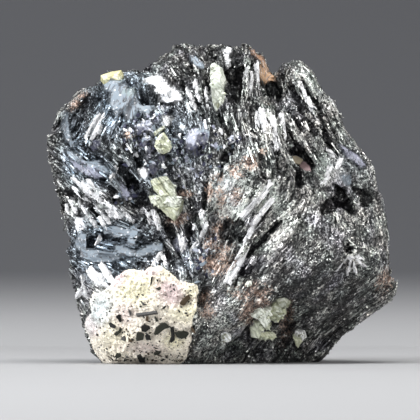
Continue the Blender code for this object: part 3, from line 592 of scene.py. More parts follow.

# lit: how much painted light each point gets, none in the gaps.
lit = amount_at(at, PAINTED_LIGHT_PLACES) * clear
# dark: painted shade from the places listed for it, and in the gaps, darker the deeper they are.
dark = np.maximum(amount_at(at, PAINTED_SHADE_PLACES), share(gap * 1.2))
crest = share((relief + 0.3) / 0.55)
streaks = drawn_out_noise(at, along, *STREAKS)
# glow: how bright the plates are painted: random streaks and bundle tones, painted light where lit,
# painted shade where dark and in the grooves between bundles (crest).
glow = 0.66 + 0.34 * streaks + 0.14 * step + 0.48 * lit - 0.6 * dark + 0.6 * (crest - 0.85)
open_skin = (at[:, 2] > 0.6) * (0.1 + 0.9 * crest) * ((1.0 - in_block) * (1.0 - levelled) * clear)
laths = LATHS_ON_BACK + (LATHS_ON_FRONT - LATHS_ON_BACK) * seen_from_front(at)
laths = np.maximum(laths, amount_at(at, LATH_PLACES))
laths = laths * np.clip(uneven(at, LATH_CHANGE, base=0.6), 0.2, 1.0)
in_face = np.empty(len(skin.data.loops), int)
skin.data.loops.foreach_get("vertex_index", in_face)
first = in_face.reshape(-1, 4)[:, 0]
keep_on_mesh(
    skin,
    "FACE",
    run=ways[bundle[first]] * (RUN_LENGTH * in_plates[first] ** 0.25)[:, None],
    tip=draw.uniform(-1.0, 1.0, (BUNDLES, 3))[bundle[first]],
)
keep_on_mesh(
    skin,
    facing=facing,
    leaf=leaf,
    leaf_tint=leaf_tint,
    glow=share(glow),
    lit=lit,
    cool=amount_at(at, COOL_PLACES),
    rust=share(amount_at(at, RUSTY_PLACES) * uneven(at, RUST_CHANGE, base=0.75)),
    laths=in_plates * open_skin * laths * (1.0 - 0.7 * dark),
    scales=open_skin * (0.55 + 0.45 * flank),
)


def plug(socket, value):
    """Links a wire to a socket, or sets a plain value on it."""
    if isinstance(value, Wire):
        value.tree.links.new(value.socket, socket)
    else:
        socket.default_value = value


class Wire:
    """One socket of a node tree. Sums written with wires add Math nodes."""

    def __init__(self, tree, socket):
        self.tree = tree
        self.socket = socket

    def node(self, kind, settings=None, sockets=None, output=0):
        """Adds a node of any kind: its settings first, then the values or wires of its sockets."""
        made = self.tree.nodes.new(kind)
        for name, value in (settings or {}).items():
            if name == "stops":
                for stop, (position, colour) in zip(made.color_ramp.elements, value):
                    stop.position, stop.color = position, colour
                for position, colour in value[2:]:
                    made.color_ramp.elements.new(position).color = colour
            else:
                setattr(made, name, value)
        for name, value in (sockets or {}).items():
            plug(made.inputs[name], value)
        return Wire(self.tree, made.outputs[output])

    def math(self, operation, first, second=0.0):
        return self.node("ShaderNodeMath", {"operation": operation}, {0: first, 1: second})

    def __add__(self, other):
        return self.math("ADD", self, other)

    __radd__ = __add__

    def __sub__(self, other):
        return self.math("SUBTRACT", self, other)

    def __rsub__(self, other):
        return self.math("SUBTRACT", other, self)

    def __mul__(self, other):
        return self.math("MULTIPLY", self, other)

    __rmul__ = __mul__

    def clamped(self):
        return self.node("ShaderNodeClamp", {}, {0: self})

    def mask(self, rise, start):
        """From 0 where this wire is low to 1 where it is high."""
        return (self * rise - start).clamped()

    def vectors(self, operation, other, output=0):
        settings = {"operation": operation}
        return self.node("ShaderNodeVectorMath", settings, {0: self, 1: other}, output)

    def dot(self, other):
        return self.vectors("DOT_PRODUCT", other, "Value")

    def scaled(self, size):
        return self.node("ShaderNodeVectorMath", {"operation": "SCALE"}, {0: self, "Scale": size})

    def blend(self, first, second):
        """A colour between two colours, by this wire."""
        return self.node("ShaderNodeMix", {"data_type": "RGBA"}, {0: self, 6: first, 7: second}, 2)

    def changed(self, way, colour, part=1.0):
        """This colour multiplied by another one, or added to it, in part."""
        settings = {"data_type": "RGBA", "blend_type": way}
        return self.node("ShaderNodeMix", settings, {0: part, 6: self, 7: colour}, 2)


def stored(place, name, output="Fac"):
    """What the mesh keeps under a name: a number, a Color or a Vector."""
    return place.node("ShaderNodeAttribute", {"attribute_name": name}, {}, output)


def new_finish(name):
    """A material, and a wire to start from: the piece's own coordinates."""
    material = bpy.data.materials.new(name)
    material.use_nodes = True
    tree = material.node_tree
    return material, Wire(tree, tree.nodes.new("ShaderNodeTexCoord").outputs["Object"])


def fed(material, **sockets):
    """The material, with wires or plain numbers plugged into its shader's sockets."""
    shader = material.node_tree.nodes["Principled BSDF"]
    for name, value in sockets.items():
        plug(shader.inputs[name.replace("_", " ")], value)
    return material


def noise_wire(place, scale, detail=2.0):
    sockets = {"Vector": place, "Scale": scale, "Detail": detail, "Roughness": 0.6}
    return place.node("ShaderNodeTexNoise", {}, sockets)


def thin_lines(place, scale, rise, detail=2.0):
    """Thin wavy lines, 1 along the middle of each."""
    away = place.math("ABSOLUTE", noise_wire(place, scale, detail) - 0.5)
    return (1.0 - away * rise).clamped()


def drawn_out(place):
    """The piece's own coordinates shortened along the plates, so that marks run along them."""
    run = stored(place, "run", "Vector")
    return place.vectors("SUBTRACT", run.scaled(place.dot(run)))


def flat_cells(place, across):
    """Small flat faces of one size: a random amount for each, and the height that tilts it."""
    cells = {"Vector": place, "Scale": 1.0 / across}
    middle = place.node("ShaderNodeTexVoronoi", {}, cells, "Position")
    chance = Wire(place.tree, middle.socket.node.outputs["Color"])
    tilt = chance.vectors("SUBTRACT", (0.5, 0.5, 0.5))
    amount = place.node("ShaderNodeSeparateColor", {}, {0: chance})
    return amount, tilt.dot(place.vectors("SUBTRACT", middle))


def tilted(height, slope=1.0):
    """The surface turned by the slope of a height, which is in metres."""
    sockets = {"Strength": 1.0, "Distance": 1.0, "Height": height * slope}
    return height.node("ShaderNodeBump", {}, sockets)


def plate_metal(place, glow, rust, cool):
    """Hematite coloured along a ramp by glow: near black in painted shade, silver in painted
    glints.
    """
    stops = [(0.0, INK), (1.0, SILVER), (0.28, CHARCOAL), (0.55, STEEL), (0.8, PEWTER)]
    shine = glow.node("ShaderNodeValToRGB", {"stops": stops}, {0: glow})
    tone = noise_wire(place, 380.0).mask(3.0, 1.1).blend(WARM_TINT, GREENISH_TINT)
    tone = noise_wire(place, 270.0, 1.0).mask(3.0, 1.6).blend(tone, LILAC_TINT)
    tinted = shine.changed("MULTIPLY", cool.blend(tone, COOL_TINT))
    # Rust painted from brown to peach, lighter where glow is high: a painted glint on the rust.
    rust_and_glint = (noise_wire(place, 3000.0) * 3.4 - 1.1 - rust * 0.5 + glow * 0.6).clamped()
    flecks = (rust * 1.3 + noise_wire(place, 4600.0) * 4.0 - 2.25).clamped()
    return (flecks * (rust * 4.0).clamped()).blend(tinted, rust_and_glint.blend(BROWN, PEACH))


def mass_finish():
    material, place = new_finish("mass_of_plates")
    glow, rust, cool = (stored(place, name) for name in ("glow", "rust", "cool"))
    lit, leaf = stored(place, "lit"), stored(place, "leaf")
    fine = drawn_out(place)
    amount, height = flat_cells(fine, 0.16 * MM)
    broad_amount, broad_height = flat_cells(fine, 0.4 * MM)
    spots, _ = flat_cells(place, 0.2 * MM)
    # glint: painted glints and shade, facet by facet: each cell painted lighter or darker at
    # random, with sparse white sparkles.
    glint = glow + amount * 0.75 + broad_amount * 0.45 + spots * 0.30 - 0.74
    glint = (glint + spots.mask(8.0, 6.9) * 0.45).clamped()
    glint = (glint * 1.08 - thin_lines(fine, 2200.0, 7.0, 1.0) * 0.32).clamped()
    scratched = amount.mask(0.9, 0.45).blend(stored(place, "leaf_tint", "Color"), STEEL)
    cracked = thin_lines(fine, 800.0, 30.0).blend(scratched, LEAF_EDGE)
    # White flecks on the flat faces: painted glints.
    flecked = spots.mask(8.0, 7.4).blend(cracked, GLINT_AND_CRYSTAL_WHITE)
    cells = (height + broad_height * 0.7) * (0.75 - leaf * 0.66)
    leaned = place.dot(stored(place, "tip", "Vector")) * (0.22 - leaf * 0.17)
    return fed(
        material,
        Base_Color=leaf.blend(plate_metal(place, glint, rust, cool), flecked),
        Metallic=(0.80 - lit * 0.45 - rust * 0.5 - leaf * 0.7).clamped(),
        Roughness=(0.28 + amount * 0.2 + lit * 0.1 + rust * 0.2 + leaf * 0.25).clamped(),
        Normal=tilted(cells + leaned),
    )


cover(skin, mass_finish())
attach(skin, "root")
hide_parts("hematite_rose")

# ------------------------------------------------------------------
# The block of pale matrix at the foot: feldspar-like rock of sugary grains, cream with yellow and
# pink in it, that the rose grew against. The two are one broken piece.
BLOCK_VOXEL = 0.17 * MM
BLOCK_PROUD = 0.10
BLOCK_GRAINS = [(0.12, 1.3, 41.0), (0.14, 0.6, 43.0), (0.12, 0.33, 45.0)]
BLUISH_PLACES = [(-14.6, 6.6, 4.2, 2.6, 70, 1), (-16, 4.4, 2.6, 1.4, 80, 0.5)]
YELLOW_PLACES = [
    (-10.6, 9.2, 5, 4, 0, 1), (-6.9, 10.2, 2.6, 2.6, 0, 0.7), (-4.4, 6.4, 2.6, 4, 90, 0.8),
    (-12.6, 3.2, 4, 4.6, 0, 0.5), (-5.8, 2.8, 2.6, 2, 0, 0.8), (-3.8, 8.8, 2, 2, 0, 0.8),
]
PINK_PLACES = [
    (-6.2, 8.6, 3.6, 2.6, -40, 1), (-12.4, 10.2, 2.4, 1.6, 50, 1), (-15.7, 4.6, 2.6, 2, -70, 0.9),
    (-11.6, 6, 2.6, 3.4, 0, 0.5), (-8.8, 11, 2.6, 1, 0, 0.8), (-10, 2, 6, 1.4, 0, 0.4),
]
CREAM = (0.97, 0.89, 0.76, 1.0)
YELLOW_CREAM = (0.98, 0.92, 0.66, 1.0)
PINK_CREAM = (0.88, 0.70, 0.69, 1.0)
BLUISH_WHITE = (0.76, 0.83, 0.83, 1.0)
CHALK = (0.95, 0.93, 0.88, 1.0)
DUSTY_BROWN = (0.17, 0.13, 0.10, 1.0)


def prism_over(outline, near, far):
    """A straight solid between two depths over an outline in X and Z, in millimetres."""
    bm = bmesh.new()
    front = bm.faces.new([bm.verts.new((x * MM, near * MM, z * MM)) for x, z in outline])
    made = bmesh.ops.extrude_face_region(bm, geom=[front])["geom"]
    moved = [item for item in made if isinstance(item, bmesh.types.BMVert)]
    bmesh.ops.translate(bm, verts=moved, vec=(0.0, (far - near) * MM, 0.0))
    bmesh.ops.recalc_face_normals(bm, faces=bm.faces)
    return built("prism", bm)


block = copy_of_solid("matrix_block")
cutter = prism_over(BLOCK_OUTLINE, -20.0, BLOCK_BACK)
kept = block.modifiers.new("kept", "BOOLEAN")
kept.operation = "INTERSECT"
kept.object = cutter
plain_mesh(block)
bpy.data.objects.remove(cutter)
even_faces(block, BLOCK_VOXEL)
at, facing = surface_of(block)
grains = uneven(at, *BLOCK_GRAINS, base=BLOCK_PROUD)
at = push_out(block, at, facing, np.clip(grains, -0.5, MOST_OUTWARD))
keep_on_mesh(
    block,
    bluish=amount_at(at, BLUISH_PLACES),
    yellow=amount_at(at, YELLOW_PLACES),
    pink=amount_at(at, PINK_PLACES),
    pit=share(-4.0 * (grains - BLOCK_PROUD) - 0.35),
)


def matrix_finish():
    material, place = new_finish("pale_matrix")
    yellow, pink = stored(place, "yellow"), stored(place, "pink")
    amount, height = flat_cells(place, 0.24 * MM)
    grain, _ = flat_cells(place, 0.17 * MM)
    mottle = noise_wire(place, 900.0)
    colour = (yellow * 1.2 + mottle * 0.8 - 0.45).clamped().blend(CREAM, YELLOW_CREAM)
    colour = (pink * 1.1 + mottle * 0.9 - 0.5).clamped().blend(colour, PINK_CREAM)
    colour = stored(place, "bluish").blend(colour, BLUISH_WHITE)
    colour = noise_wire(place, 3100.0).mask(3.2, 1.75).blend(colour, CHALK)
    veins = grain.mask(6.0, 5.3) + thin_lines(place, 1700.0, 26.0) * 0.3
    colour = veins.clamped().blend(colour, DUSTY_BROWN)
    # Darker brown in small random specks, and in the low spots between the grains (pit).
    specks = noise_wire(place, 3600.0).mask(9.0, 5.5) * 0.8 + stored(place, "pit") * 0.8
    return fed(
        material,
        Base_Color=specks.clamped().blend(colour, DUSTY_BROWN),
        Roughness=(0.6 + amount * 0.3).clamped(),
        Specular_IOR_Level=0.3,
        Normal=tilted(height, 1.4),
    )


cover(block, matrix_finish())
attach(block, "root")

# ------------------------------------------------------------------
# Dark grains in the block: sharp-cornered splinters of hematite and glassy brown mineral, held in
# the pale rock with their broken faces level with it.
DARK_GRAINS = [
    [(-8.1, 3.6), (-7.9, 4.4), (-7.2, 5), (-6.8, 5), (-6.3, 4.5), (-6.9, 4.3), (-7.8, 3.6)],
    [(-9.7, 4.5), (-9.3, 4.8), (-8.7, 4.6), (-8.6, 4.3), (-9.1, 3.9), (-9.6, 4)],
    [(-10.3, 3.1), (-10.2, 3.8), (-9.7, 3.9), (-9.3, 3.6), (-9.4, 3), (-10.2, 2.8)],
    [(-9.2, 3.4), (-9, 3.7), (-8.6, 3.4), (-8.6, 3), (-9.1, 3)],
    [(-10.3, 6.05), (-7.8, 6.4), (-7.8, 6.15), (-9.2, 5.9), (-10.2, 5.8)],
    [(-9.1, 5.8), (-8.8, 5.8), (-8.8, 5.2), (-9.1, 5.2)],
    [(-8.1, 5.7), (-8, 5.8), (-7.6, 5.2), (-7.9, 5.1)],
    [(-12.7, 5.7), (-12.3, 6), (-12.1, 5.7), (-12, 5.1), (-12.2, 5), (-12.4, 5.4)],
    [(-12.9, 3.6), (-12.7, 3.9), (-12.3, 4), (-12.2, 4.5), (-12, 4.2), (-12.1, 3.8), (-12.6, 3.4)],
    [(-13.5, 4.9), (-13.3, 5), (-12.7, 4.6), (-12.8, 4.3), (-13.3, 4.4)],
    [(-11.2, 6.6), (-10.9, 6.4), (-10.8, 6.1), (-11, 5.7), (-11.1, 6.2)],
    [(-5.1, 7.2), (-5, 7.5), (-4.4, 8.1), (-4, 8.4), (-3.8, 7.9), (-4.3, 7.4), (-4.6, 7)],
    [(-5.7, 3.8), (-5.2, 4), (-4.6, 4), (-4, 3.7), (-4.3, 3.3), (-4.9, 3.1), (-5.5, 3.4)],
    [(-6.2, 4.4), (-5.8, 4.5), (-5.7, 3.6), (-5.7, 3), (-6.1, 2.6), (-6.3, 2.7), (-6.1, 3.4)],
    [(-12.8, 1), (-12.6, 1.3), (-12.2, 1.3), (-12.1, 0.9), (-12.6, 0.7)],
    [(-10.2, 1), (-9.8, 1.2), (-9.3, 0.7), (-9.2, 0.3), (-9.9, 0.3)],
    [(-12.1, 3), (-11.7, 3.4), (-11.5, 3.1), (-11.6, 2.8)],
    [(-11.2, 3.2), (-11, 3), (-10.5, 2.8), (-11.1, 2.7)],
    [(-8.2, 1.3), (-7.9, 1.5), (-7.3, 1.6), (-7.5, 1.3), (-8, 1.2)],
    [(-8.6, 9.4), (-8.5, 10.4), (-8.25, 10.5), (-8.4, 9.6)],
    [(-7.9, 9.1), (-7.4, 9.3), (-7.3, 9), (-7.6, 8.8)],
    [(-7.2, 6.6), (-6.9, 7), (-6.7, 7), (-6.9, 6.7)],
    [(-9.8, 7.6), (-9.3, 7.3), (-9.4, 7)],
    [(-3.8, 4.6), (-3.4, 4.2), (-3.2, 3.7), (-3.6, 3.8)],
]
GRAIN_PROUD = 0.12
GRAIN_DEPTH = 0.6
SMALL_GRAINS = 260
SMALL_SPREAD = (-15.8, -3.6)
SMALL_HEIGHTS = (0.4, 10.4)  # most of them low down
SMALL_MARGIN = 0.3  # how far inside the block's outline they stay
SMALL_LENGTHS = (0.12, 0.45)
SMALL_WIDTHS = (0.12, 0.24)
SMALL_DEPTH = 0.3  # of the small chips on every piece
BLACK_GRAIN = (0.010, 0.010, 0.009, 1.0)
OLIVE_GRAIN = (0.024, 0.025, 0.018, 1.0)
GREY_GRAIN = (0.07, 0.068, 0.066, 1.0)
BROWN_GRAIN = (0.06, 0.04, 0.022, 1.0)
NO_TINT = (1.0, 1.0, 1.0, 1.0)
INWARD = Vector((0.0, 1.0, 0.0))  # away from the viewer


def tree_of(piece):
    bm = bmesh.new()
    bm.from_mesh(piece.data)
    tree = BVHTree.FromBMesh(bm)
    bm.free()
    return tree


def front_of(tree, x, z):
    """The front of a surface at X and Z in millimetres, and its normal."""
    return tree.ray_cast(Vector((x, -40.0, z)) * MM, INWARD)[:2]


def depth_inside(x, z, outline):
    return inside(np.array([[x, 0.0, z]]), outline)[0]


def resting_plane(tree, outline, leaning=0.7, shrunk=0.8, raised=0.6):
    """The plane a flat piece lies in: its middle, clear of most of the surface, and its normal."""
    middle = np.mean(outline, axis=0)
    places = [middle] + [middle + (corner - middle) * shrunk for corner in np.array(outline)]
    hits = [front_of(tree, x, z)[0] for x, z in places]
    hits = np.array([hit for hit in hits if hit and hit.y < 2.0 * MM])
    centre = hits.mean(axis=0)
    normal = np.linalg.svd(hits - centre)[2][-1]
    normal = Vector(normal * -np.sign(normal[1])) * leaning + Vector((0.0, leaning - 1.0, 0.0))
    normal.normalize()
    highest = max(0.0, *((hits - centre) @ np.array(normal)))
    return Vector(centre) + normal * (raised * highest), normal


def on_plane(x, z, middle, normal):
    """The point of a plane that is seen from the front at X and Z in millimetres."""
    right, up = x * MM - middle.x, z * MM - middle.z
    return Vector((x * MM, middle.y - (normal.x * right + normal.z * up) / normal.y, z * MM))


def ring_on_plane(outline, middle, normal):
    """The corners of an outline seen from the front, laid on a plane."""
    area = sum(a[0] * b[1] - b[0] * a[1] for a, b in zip(outline, outline[1:] + outline[:1]))
    return [on_plane(x, z, middle, normal) for x, z in (outline if area > 0.0 else outline[::-1])]


def ring_around(middle, long_way, face_way, outline):
    """The corners of an outline given along and across a direction, around a middle."""
    face_way = face_way.normalized()
    across = face_way.cross(long_way).normalized()
    long_way = across.cross(face_way)
    return [middle + (long_way * u + across * v) * MM for u, v in outline]


def add_plate(bm, ring, face_way, thickness, tint, rim=0.9, peak=0.0):
    """A closed flat piece over a ring of corners, with a narrower face: sizes in millimetres."""
    face_way = face_way.normalized()
    middle = sum(ring, Vector()) / len(ring)
    layer = bm.verts.layers.float_color["tint"]
    rings = []
    for lift, size in ((-thickness, 1.0), (0.0, 1.0), (max(peak, 0.3 * thickness), rim)):
        up = face_way * lift * MM
        level = [bm.verts.new(middle + (corner - middle) * size + up) for corner in ring]
        for vert in level:
            vert[layer] = tint
        rings.append(level)
    bm.faces.new(rings[0][::-1])
    bm.faces.new(rings[2])
    for low, high in zip(rings, rings[1:]):
        for k in range(-len(low), 0):
            bm.faces.new((low[k], low[k + 1], high[k + 1], high[k]))
    return rings[2]


def chip_outline(dice, lengths, widths):
    """The outline of a small broken face, in millimetres."""
    length, width, corners = dice.uniform(*lengths), dice.uniform(*widths), dice.choice((3, 4, 5))
    outline = []
    for corner in range(corners):
        turn = 2.0 * math.pi * (corner + dice.uniform(-0.3, 0.3)) / corners
        along, across = math.cos(turn), math.sin(turn)
        out = dice.uniform(0.9, 1.1) / (abs(along) ** 3 + abs(across) ** 3) ** (1 / 3)
        outline.append((0.5 * length * out * along, 0.5 * width * out * across))
    return outline


def new_tinted():
    bm = bmesh.new()
    bm.verts.layers.float_color.new("tint")
    return bm


def finished_piece(name, bm, material):
    """Turns a built mesh into a piece that rides on the rose."""
    piece = built(name, bm)
    cover(piece, material)
    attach(piece, "root")


def add_chip(bm, spot, turn, face_way, chip, tint, rim, peak):
    """A small chip at an angle from +X towards +Z."""
    ring = ring_around(spot, Vector((math.cos(turn), 0.0, math.sin(turn))), face_way, chip)
    add_plate(bm, ring, face_way, SMALL_DEPTH, tint, rim, peak)


def grain_finish():
    material, place = new_finish("dark_grains")
    tint = stored(place, "tint", "Color")
    _, height = flat_cells(place, 0.5 * MM)
    paler = tint.changed("ADD", NO_TINT, 0.015)
    return fed(
        material,
        Base_Color=noise_wire(place, 1400.0).mask(2.0, 0.6).blend(tint, paler),
        Roughness=0.45,
        Specular_IOR_Level=0.15,
        Normal=tilted(height, 0.15),
    )


block_front = tree_of(block)
dice = random.Random(12)
bm = new_tinted()
for index, outline in enumerate(DARK_GRAINS):
    middle, normal = resting_plane(block_front, outline)
    tint = (OLIVE_GRAIN, BLACK_GRAIN, OLIVE_GRAIN, BLACK_GRAIN, GREY_GRAIN, BROWN_GRAIN)[index % 6]
    ring = ring_on_plane(outline, middle + normal * GRAIN_PROUD * MM, normal)
    add_plate(bm, ring, normal, GRAIN_DEPTH, tint, 0.96, 0.02)
for _ in range(SMALL_GRAINS):
    x = dice.uniform(*SMALL_SPREAD)
    z = SMALL_HEIGHTS[1] * dice.random() ** 2.6 + SMALL_HEIGHTS[0]
    if depth_inside(x, z, BLOCK_OUTLINE) < SMALL_MARGIN:
        continue
    spot, normal = front_of(block_front, x, z)
    chip = chip_outline(dice, SMALL_LENGTHS, SMALL_WIDTHS)
    turn = dice.uniform(-1.2, 1.2)
    tint = dice.choice((BLACK_GRAIN, OLIVE_GRAIN, GREY_GRAIN, BROWN_GRAIN))
    add_chip(bm, spot, turn, normal, chip, tint, 0.9, 0.05)
finished_piece("dark_grains", bm, grain_finish())

# ------------------------------------------------------------------
# Broad plates of hematite lying in the surface: thin stacked leaves that show a flat broken side,
# blue-grey like a dull mirror. Each leaf is fixed along its lower edge where it grew.
LEAVES_IN_FACE = 2
LEAF_THICKNESS = 0.12
LEAF_STEP = 0.14
LEAF_SLIP = 0.1  # how far each leaf may lie beside and lean from the one over it

# Clusters of small flat broken faces: X, Z, reach across and up, and how many.
FACET_CLUSTERS = [
    (-4.3, 25.3, 2.9, 3.1, 70), (-9.4, 26, 2.6, 2.6, 45), (-8.2, 29.4, 2.2, 1.4, 30),
    (-8.4, 23.6, 1.7, 1.2, 22), (-3, 13.5, 1.9, 3.1, 40), (-11.4, 20, 1.7, 1.4, 16),
    (-0.1, 26.7, 1.9, 2.2, 24),
]
FACET_LENGTHS = (0.4, 1.1)
FACET_WIDTHS = (0.25, 0.55)
FACET_LEAN = 0.5
CLEAR_OF_FACES = 0.1
# The near-white chips are painted glints.
FACET_TINTS = (GLINT_AND_CRYSTAL_WHITE, GLINT_AND_CRYSTAL_WHITE, PALE_LAVENDER, PALE_BLUE, LAVENDER, NAVY, NAVY)
ANY_TURN = (-1.6, 1.6)


def to_one_side(dice, most):
    """A random step or lean sideways and up or down."""
    return Vector((dice.uniform(-most, most), 0.0, dice.uniform(-most, most)))


def leaf_finish():
    material, place = new_finish("broad_leaves")
    tint = stored(place, "tint", "Color")
    amount, height = flat_cells(place, 0.7 * MM)
    darker = tint.changed("MULTIPLY", STEEL, 0.6)
    colour = noise_wire(place, 700.0).mask(2.4, 1.0).blend(tint, darker)
    return fed(
        material,
        # Pale pewter flecks on the leaves: painted glints.
        Base_Color=(noise_wire(place, 1900.0).mask(6.0, 4.0) * 0.7).blend(colour, PEWTER),
        Roughness=(amount * 0.15 + 0.42).clamped(),
        Metallic=0.15,
        Normal=tilted(height, 0.07),
    )


mass_front = tree_of(skin)
dice = random.Random(7)
bm = new_tinted()
for tint, outline in PROUD_PLATES:
    middle, normal = resting_plane(mass_front, outline)
    for leaf in range(LEAVES_IN_FACE):
        under = to_one_side(dice, LEAF_SLIP) * leaf * MM
        face_way = normal + to_one_side(dice, LEAF_SLIP)
        plane = middle - normal * (LEAF_STEP * leaf) * MM
        ring = [corner + under for corner in ring_on_plane(outline, plane, face_way)]
        add_plate(bm, ring, face_way, LEAF_THICKNESS, LEAF_EDGE if leaf else tint, 0.96, 0.03)
for middle_x, middle_z, wide, high, count in FACET_CLUSTERS:
    for _ in range(count):
        x = middle_x + 0.5 * wide * dice.gauss(0.0, 1.0)
        z = middle_z + 0.5 * high * dice.gauss(0.0, 1.0)
        faces_in = (depth_inside(x, z, outline) for _, outline in PALE_CRYSTALS + FLAT_FACES)
        if max(faces_in) > -CLEAR_OF_FACES:
            continue
        spot, normal = front_of(mass_front, x, z)
        face_way = normal - INWARD * 0.5 + to_one_side(dice, FACET_LEAN)
        turn = dice.uniform(*ANY_TURN)
        chip = chip_outline(dice, FACET_LENGTHS, FACET_WIDTHS)
        add_chip(bm, spot, turn, face_way, chip, dice.choice(FACET_TINTS), 0.85, 0.03)
finished_piece("broad_leaves", bm, leaf_finish())

# ------------------------------------------------------------------
# Bright blades: bundles of long thin laths of hematite, polished by breaking along their length,
# each bundle grown into the mass at both ends. Their near-white colour is a painted highlight.

# X and Z of both ends, width, and how bright the painted highlight is.
BRIGHT_BLADES = [
    (5.9, 22, 3.8, 19.4, 0.9, 1), (4.4, 20, 2.2, 17.5, 0.7, 0.8), (6, 19.9, 3.6, 16.6, 0.7, 1),
    (3.8, 16.9, 2.6, 14.2, 0.8, 0.6), (3.1, 15, 1.6, 11.8, 0.9, 0.8),
    (2.1, 12.6, 0.4, 9.7, 1.1, 1), (-2.7, 18.3, -2, 16.3, 0.7, 1), (-2, 16.5, -2.5, 15, 0.6, 0.6),
    (-5, 15.7, -4.6, 13.4, 0.8, 0.9), (-2.2, 15.4, -3.9, 13.2, 0.7, 0.7),
    (-7.4, 13.4, -8.4, 11.7, 0.4, 0.9), (-7.5, 13.4, -6.6, 11.4, 0.6, 0.9),
    (-18.1, 22.4, -15, 19.6, 0.35, 0.75), (-17.1, 21.8, -13.5, 18.6, 0.4, 0.75),
    (-16.4, 22, -14.2, 20.2, 0.2, 0.6), (-17.9, 21.2, -15.6, 19, 0.25, 0.7),
    (-15.2, 20, -13.3, 17.8, 0.35, 0.7), (-18.4, 19.6, -17.4, 17.9, 0.4, 0.75),
    (-17.4, 19.5, -16.2, 17.8, 0.35, 0.75), (-18.9, 18.9, -18.3, 17.7, 0.35, 0.65),
    (-15.7, 17.8, -15, 15.8, 0.45, 0.85), (-15.1, 19, -13.5, 16.6, 0.3, 0.65),
    (-14.7, 17.8, -13.8, 16, 0.25, 0.75), (-14.5, 15.7, -15.2, 13.9, 0.35, 0.85),
    (-13.9, 19.3, -12.3, 17.3, 0.7, 1), (-16.6, 18.6, -15.6, 17, 0.3, 0.8),
    (-16.3, 27, -14.2, 30.6, 0.6, 0.64), (-15.6, 26.8, -13.8, 30.2, 0.4, 0.64),
    (-15, 27.4, -14, 29.5, 0.5, 0.72), (-16.2, 11.4, -13.3, 8.2, 1.2, 0.9),
    (-17.6, 7.8, -16.3, 9.7, 0.5, 0.8), (-16.9, 10.5, -15.9, 7.5, 0.5, 0.7),
    (4.7, 30.6, 5.2, 26.6, 0.8, 0.65), (5.9, 29.6, 6.5, 25.5, 0.7, 0.65),
    (7, 30, 7.4, 26.5, 0.5, 0.6), (4, 30.1, 4.2, 27.9, 0.6, 0.6), (3.3, 32, 3.5, 35.1, 0.5, 0.6),
    (4.1, 32.5, 4.2, 36.1, 0.5, 0.6), (2.8, 32.5, 2.9, 35.6, 0.4, 0.5),
    (8.8, 33.7, 10.6, 30.4, 0.5, 0.6), (-3.4, 33.9, -2.7, 31.3, 0.6, 0.8),
    (-2.1, 33.2, -1.6, 30.3, 0.5, 0.6), (12.9, 23.8, 11.9, 21.3, 0.8, 0.9),
    (14.1, 24.8, 13.4, 22.9, 0.6, 0.9), (11.9, 26, 13.4, 24.6, 0.5, 0.6),
    (-8.5, 18.6, -7.5, 16.2, 0.6, 0.9), (-9.2, 18.6, -8.5, 16.9, 0.5, 0.8),
    (-12.6, 23.6, -13.2, 21.9, 0.7, 0.56), (-12.3, 18.8, -10.6, 16.9, 0.5, 0.64),
    (-4.4, 33, -3.2, 30.1, 0.6, 0.6), (15.3, 12.8, 14.8, 10.6, 0.15, 0.7),
    (15.4, 12.7, 16, 10.4, 0.15, 0.8), (15.5, 12.8, 17.2, 11.4, 0.15, 0.7),
    (15, 12.9, 13.2, 10.9, 0.12, 0.6), (15.5, 13, 16.9, 12.3, 0.15, 0.8),
    (14.8, 12.8, 15.5, 12.6, 0.6, 1), (-14.7, 12.1, -11.4, 7.5, 0.7, 0.9),
    (-15.1, 11, -12.1, 7.5, 0.5, 0.8),
]
LATH_WIDTH = 0.14
LATHS_DEEP = 3.2  # laths over each other in a blade
LEAST_LATHS = 6
LATH_PARTS = (0.10, 0.36)  # length of a lath, as a part of the blade's
LATH_SHADES = (0.65, 1.5)
LATH_WIDTHS = (0.7, 1.8)
LATH_LIFT = (-0.10, 0.10)
LATH_SKEW = (-0.3, 0.3)
LATH_ROLL = 0.8
LATH_FAN = 0.16
BLADE_LEAN = Vector((-0.35, -0.3, 0.35))  # the blades broke facing up and to the left


def blade_finish():
    material, place = new_finish("bright_blades")
    tint = stored(place, "tint", "Color")
    amount, height = flat_cells(place, 0.22 * MM)
    scratched = amount.mask(2.5, 1.9).blend(tint, tint.changed("MULTIPLY", STEEL, 0.8))
    return fed(
        material,
        Base_Color=(noise_wire(place, 3600.0).mask(9.0, 5.6) * 0.85).blend(scratched, CHARCOAL),
        Roughness=(amount * 0.2 + 0.25).clamped(),
        Metallic=0.05,
        Normal=tilted(height, 0.4),
    )


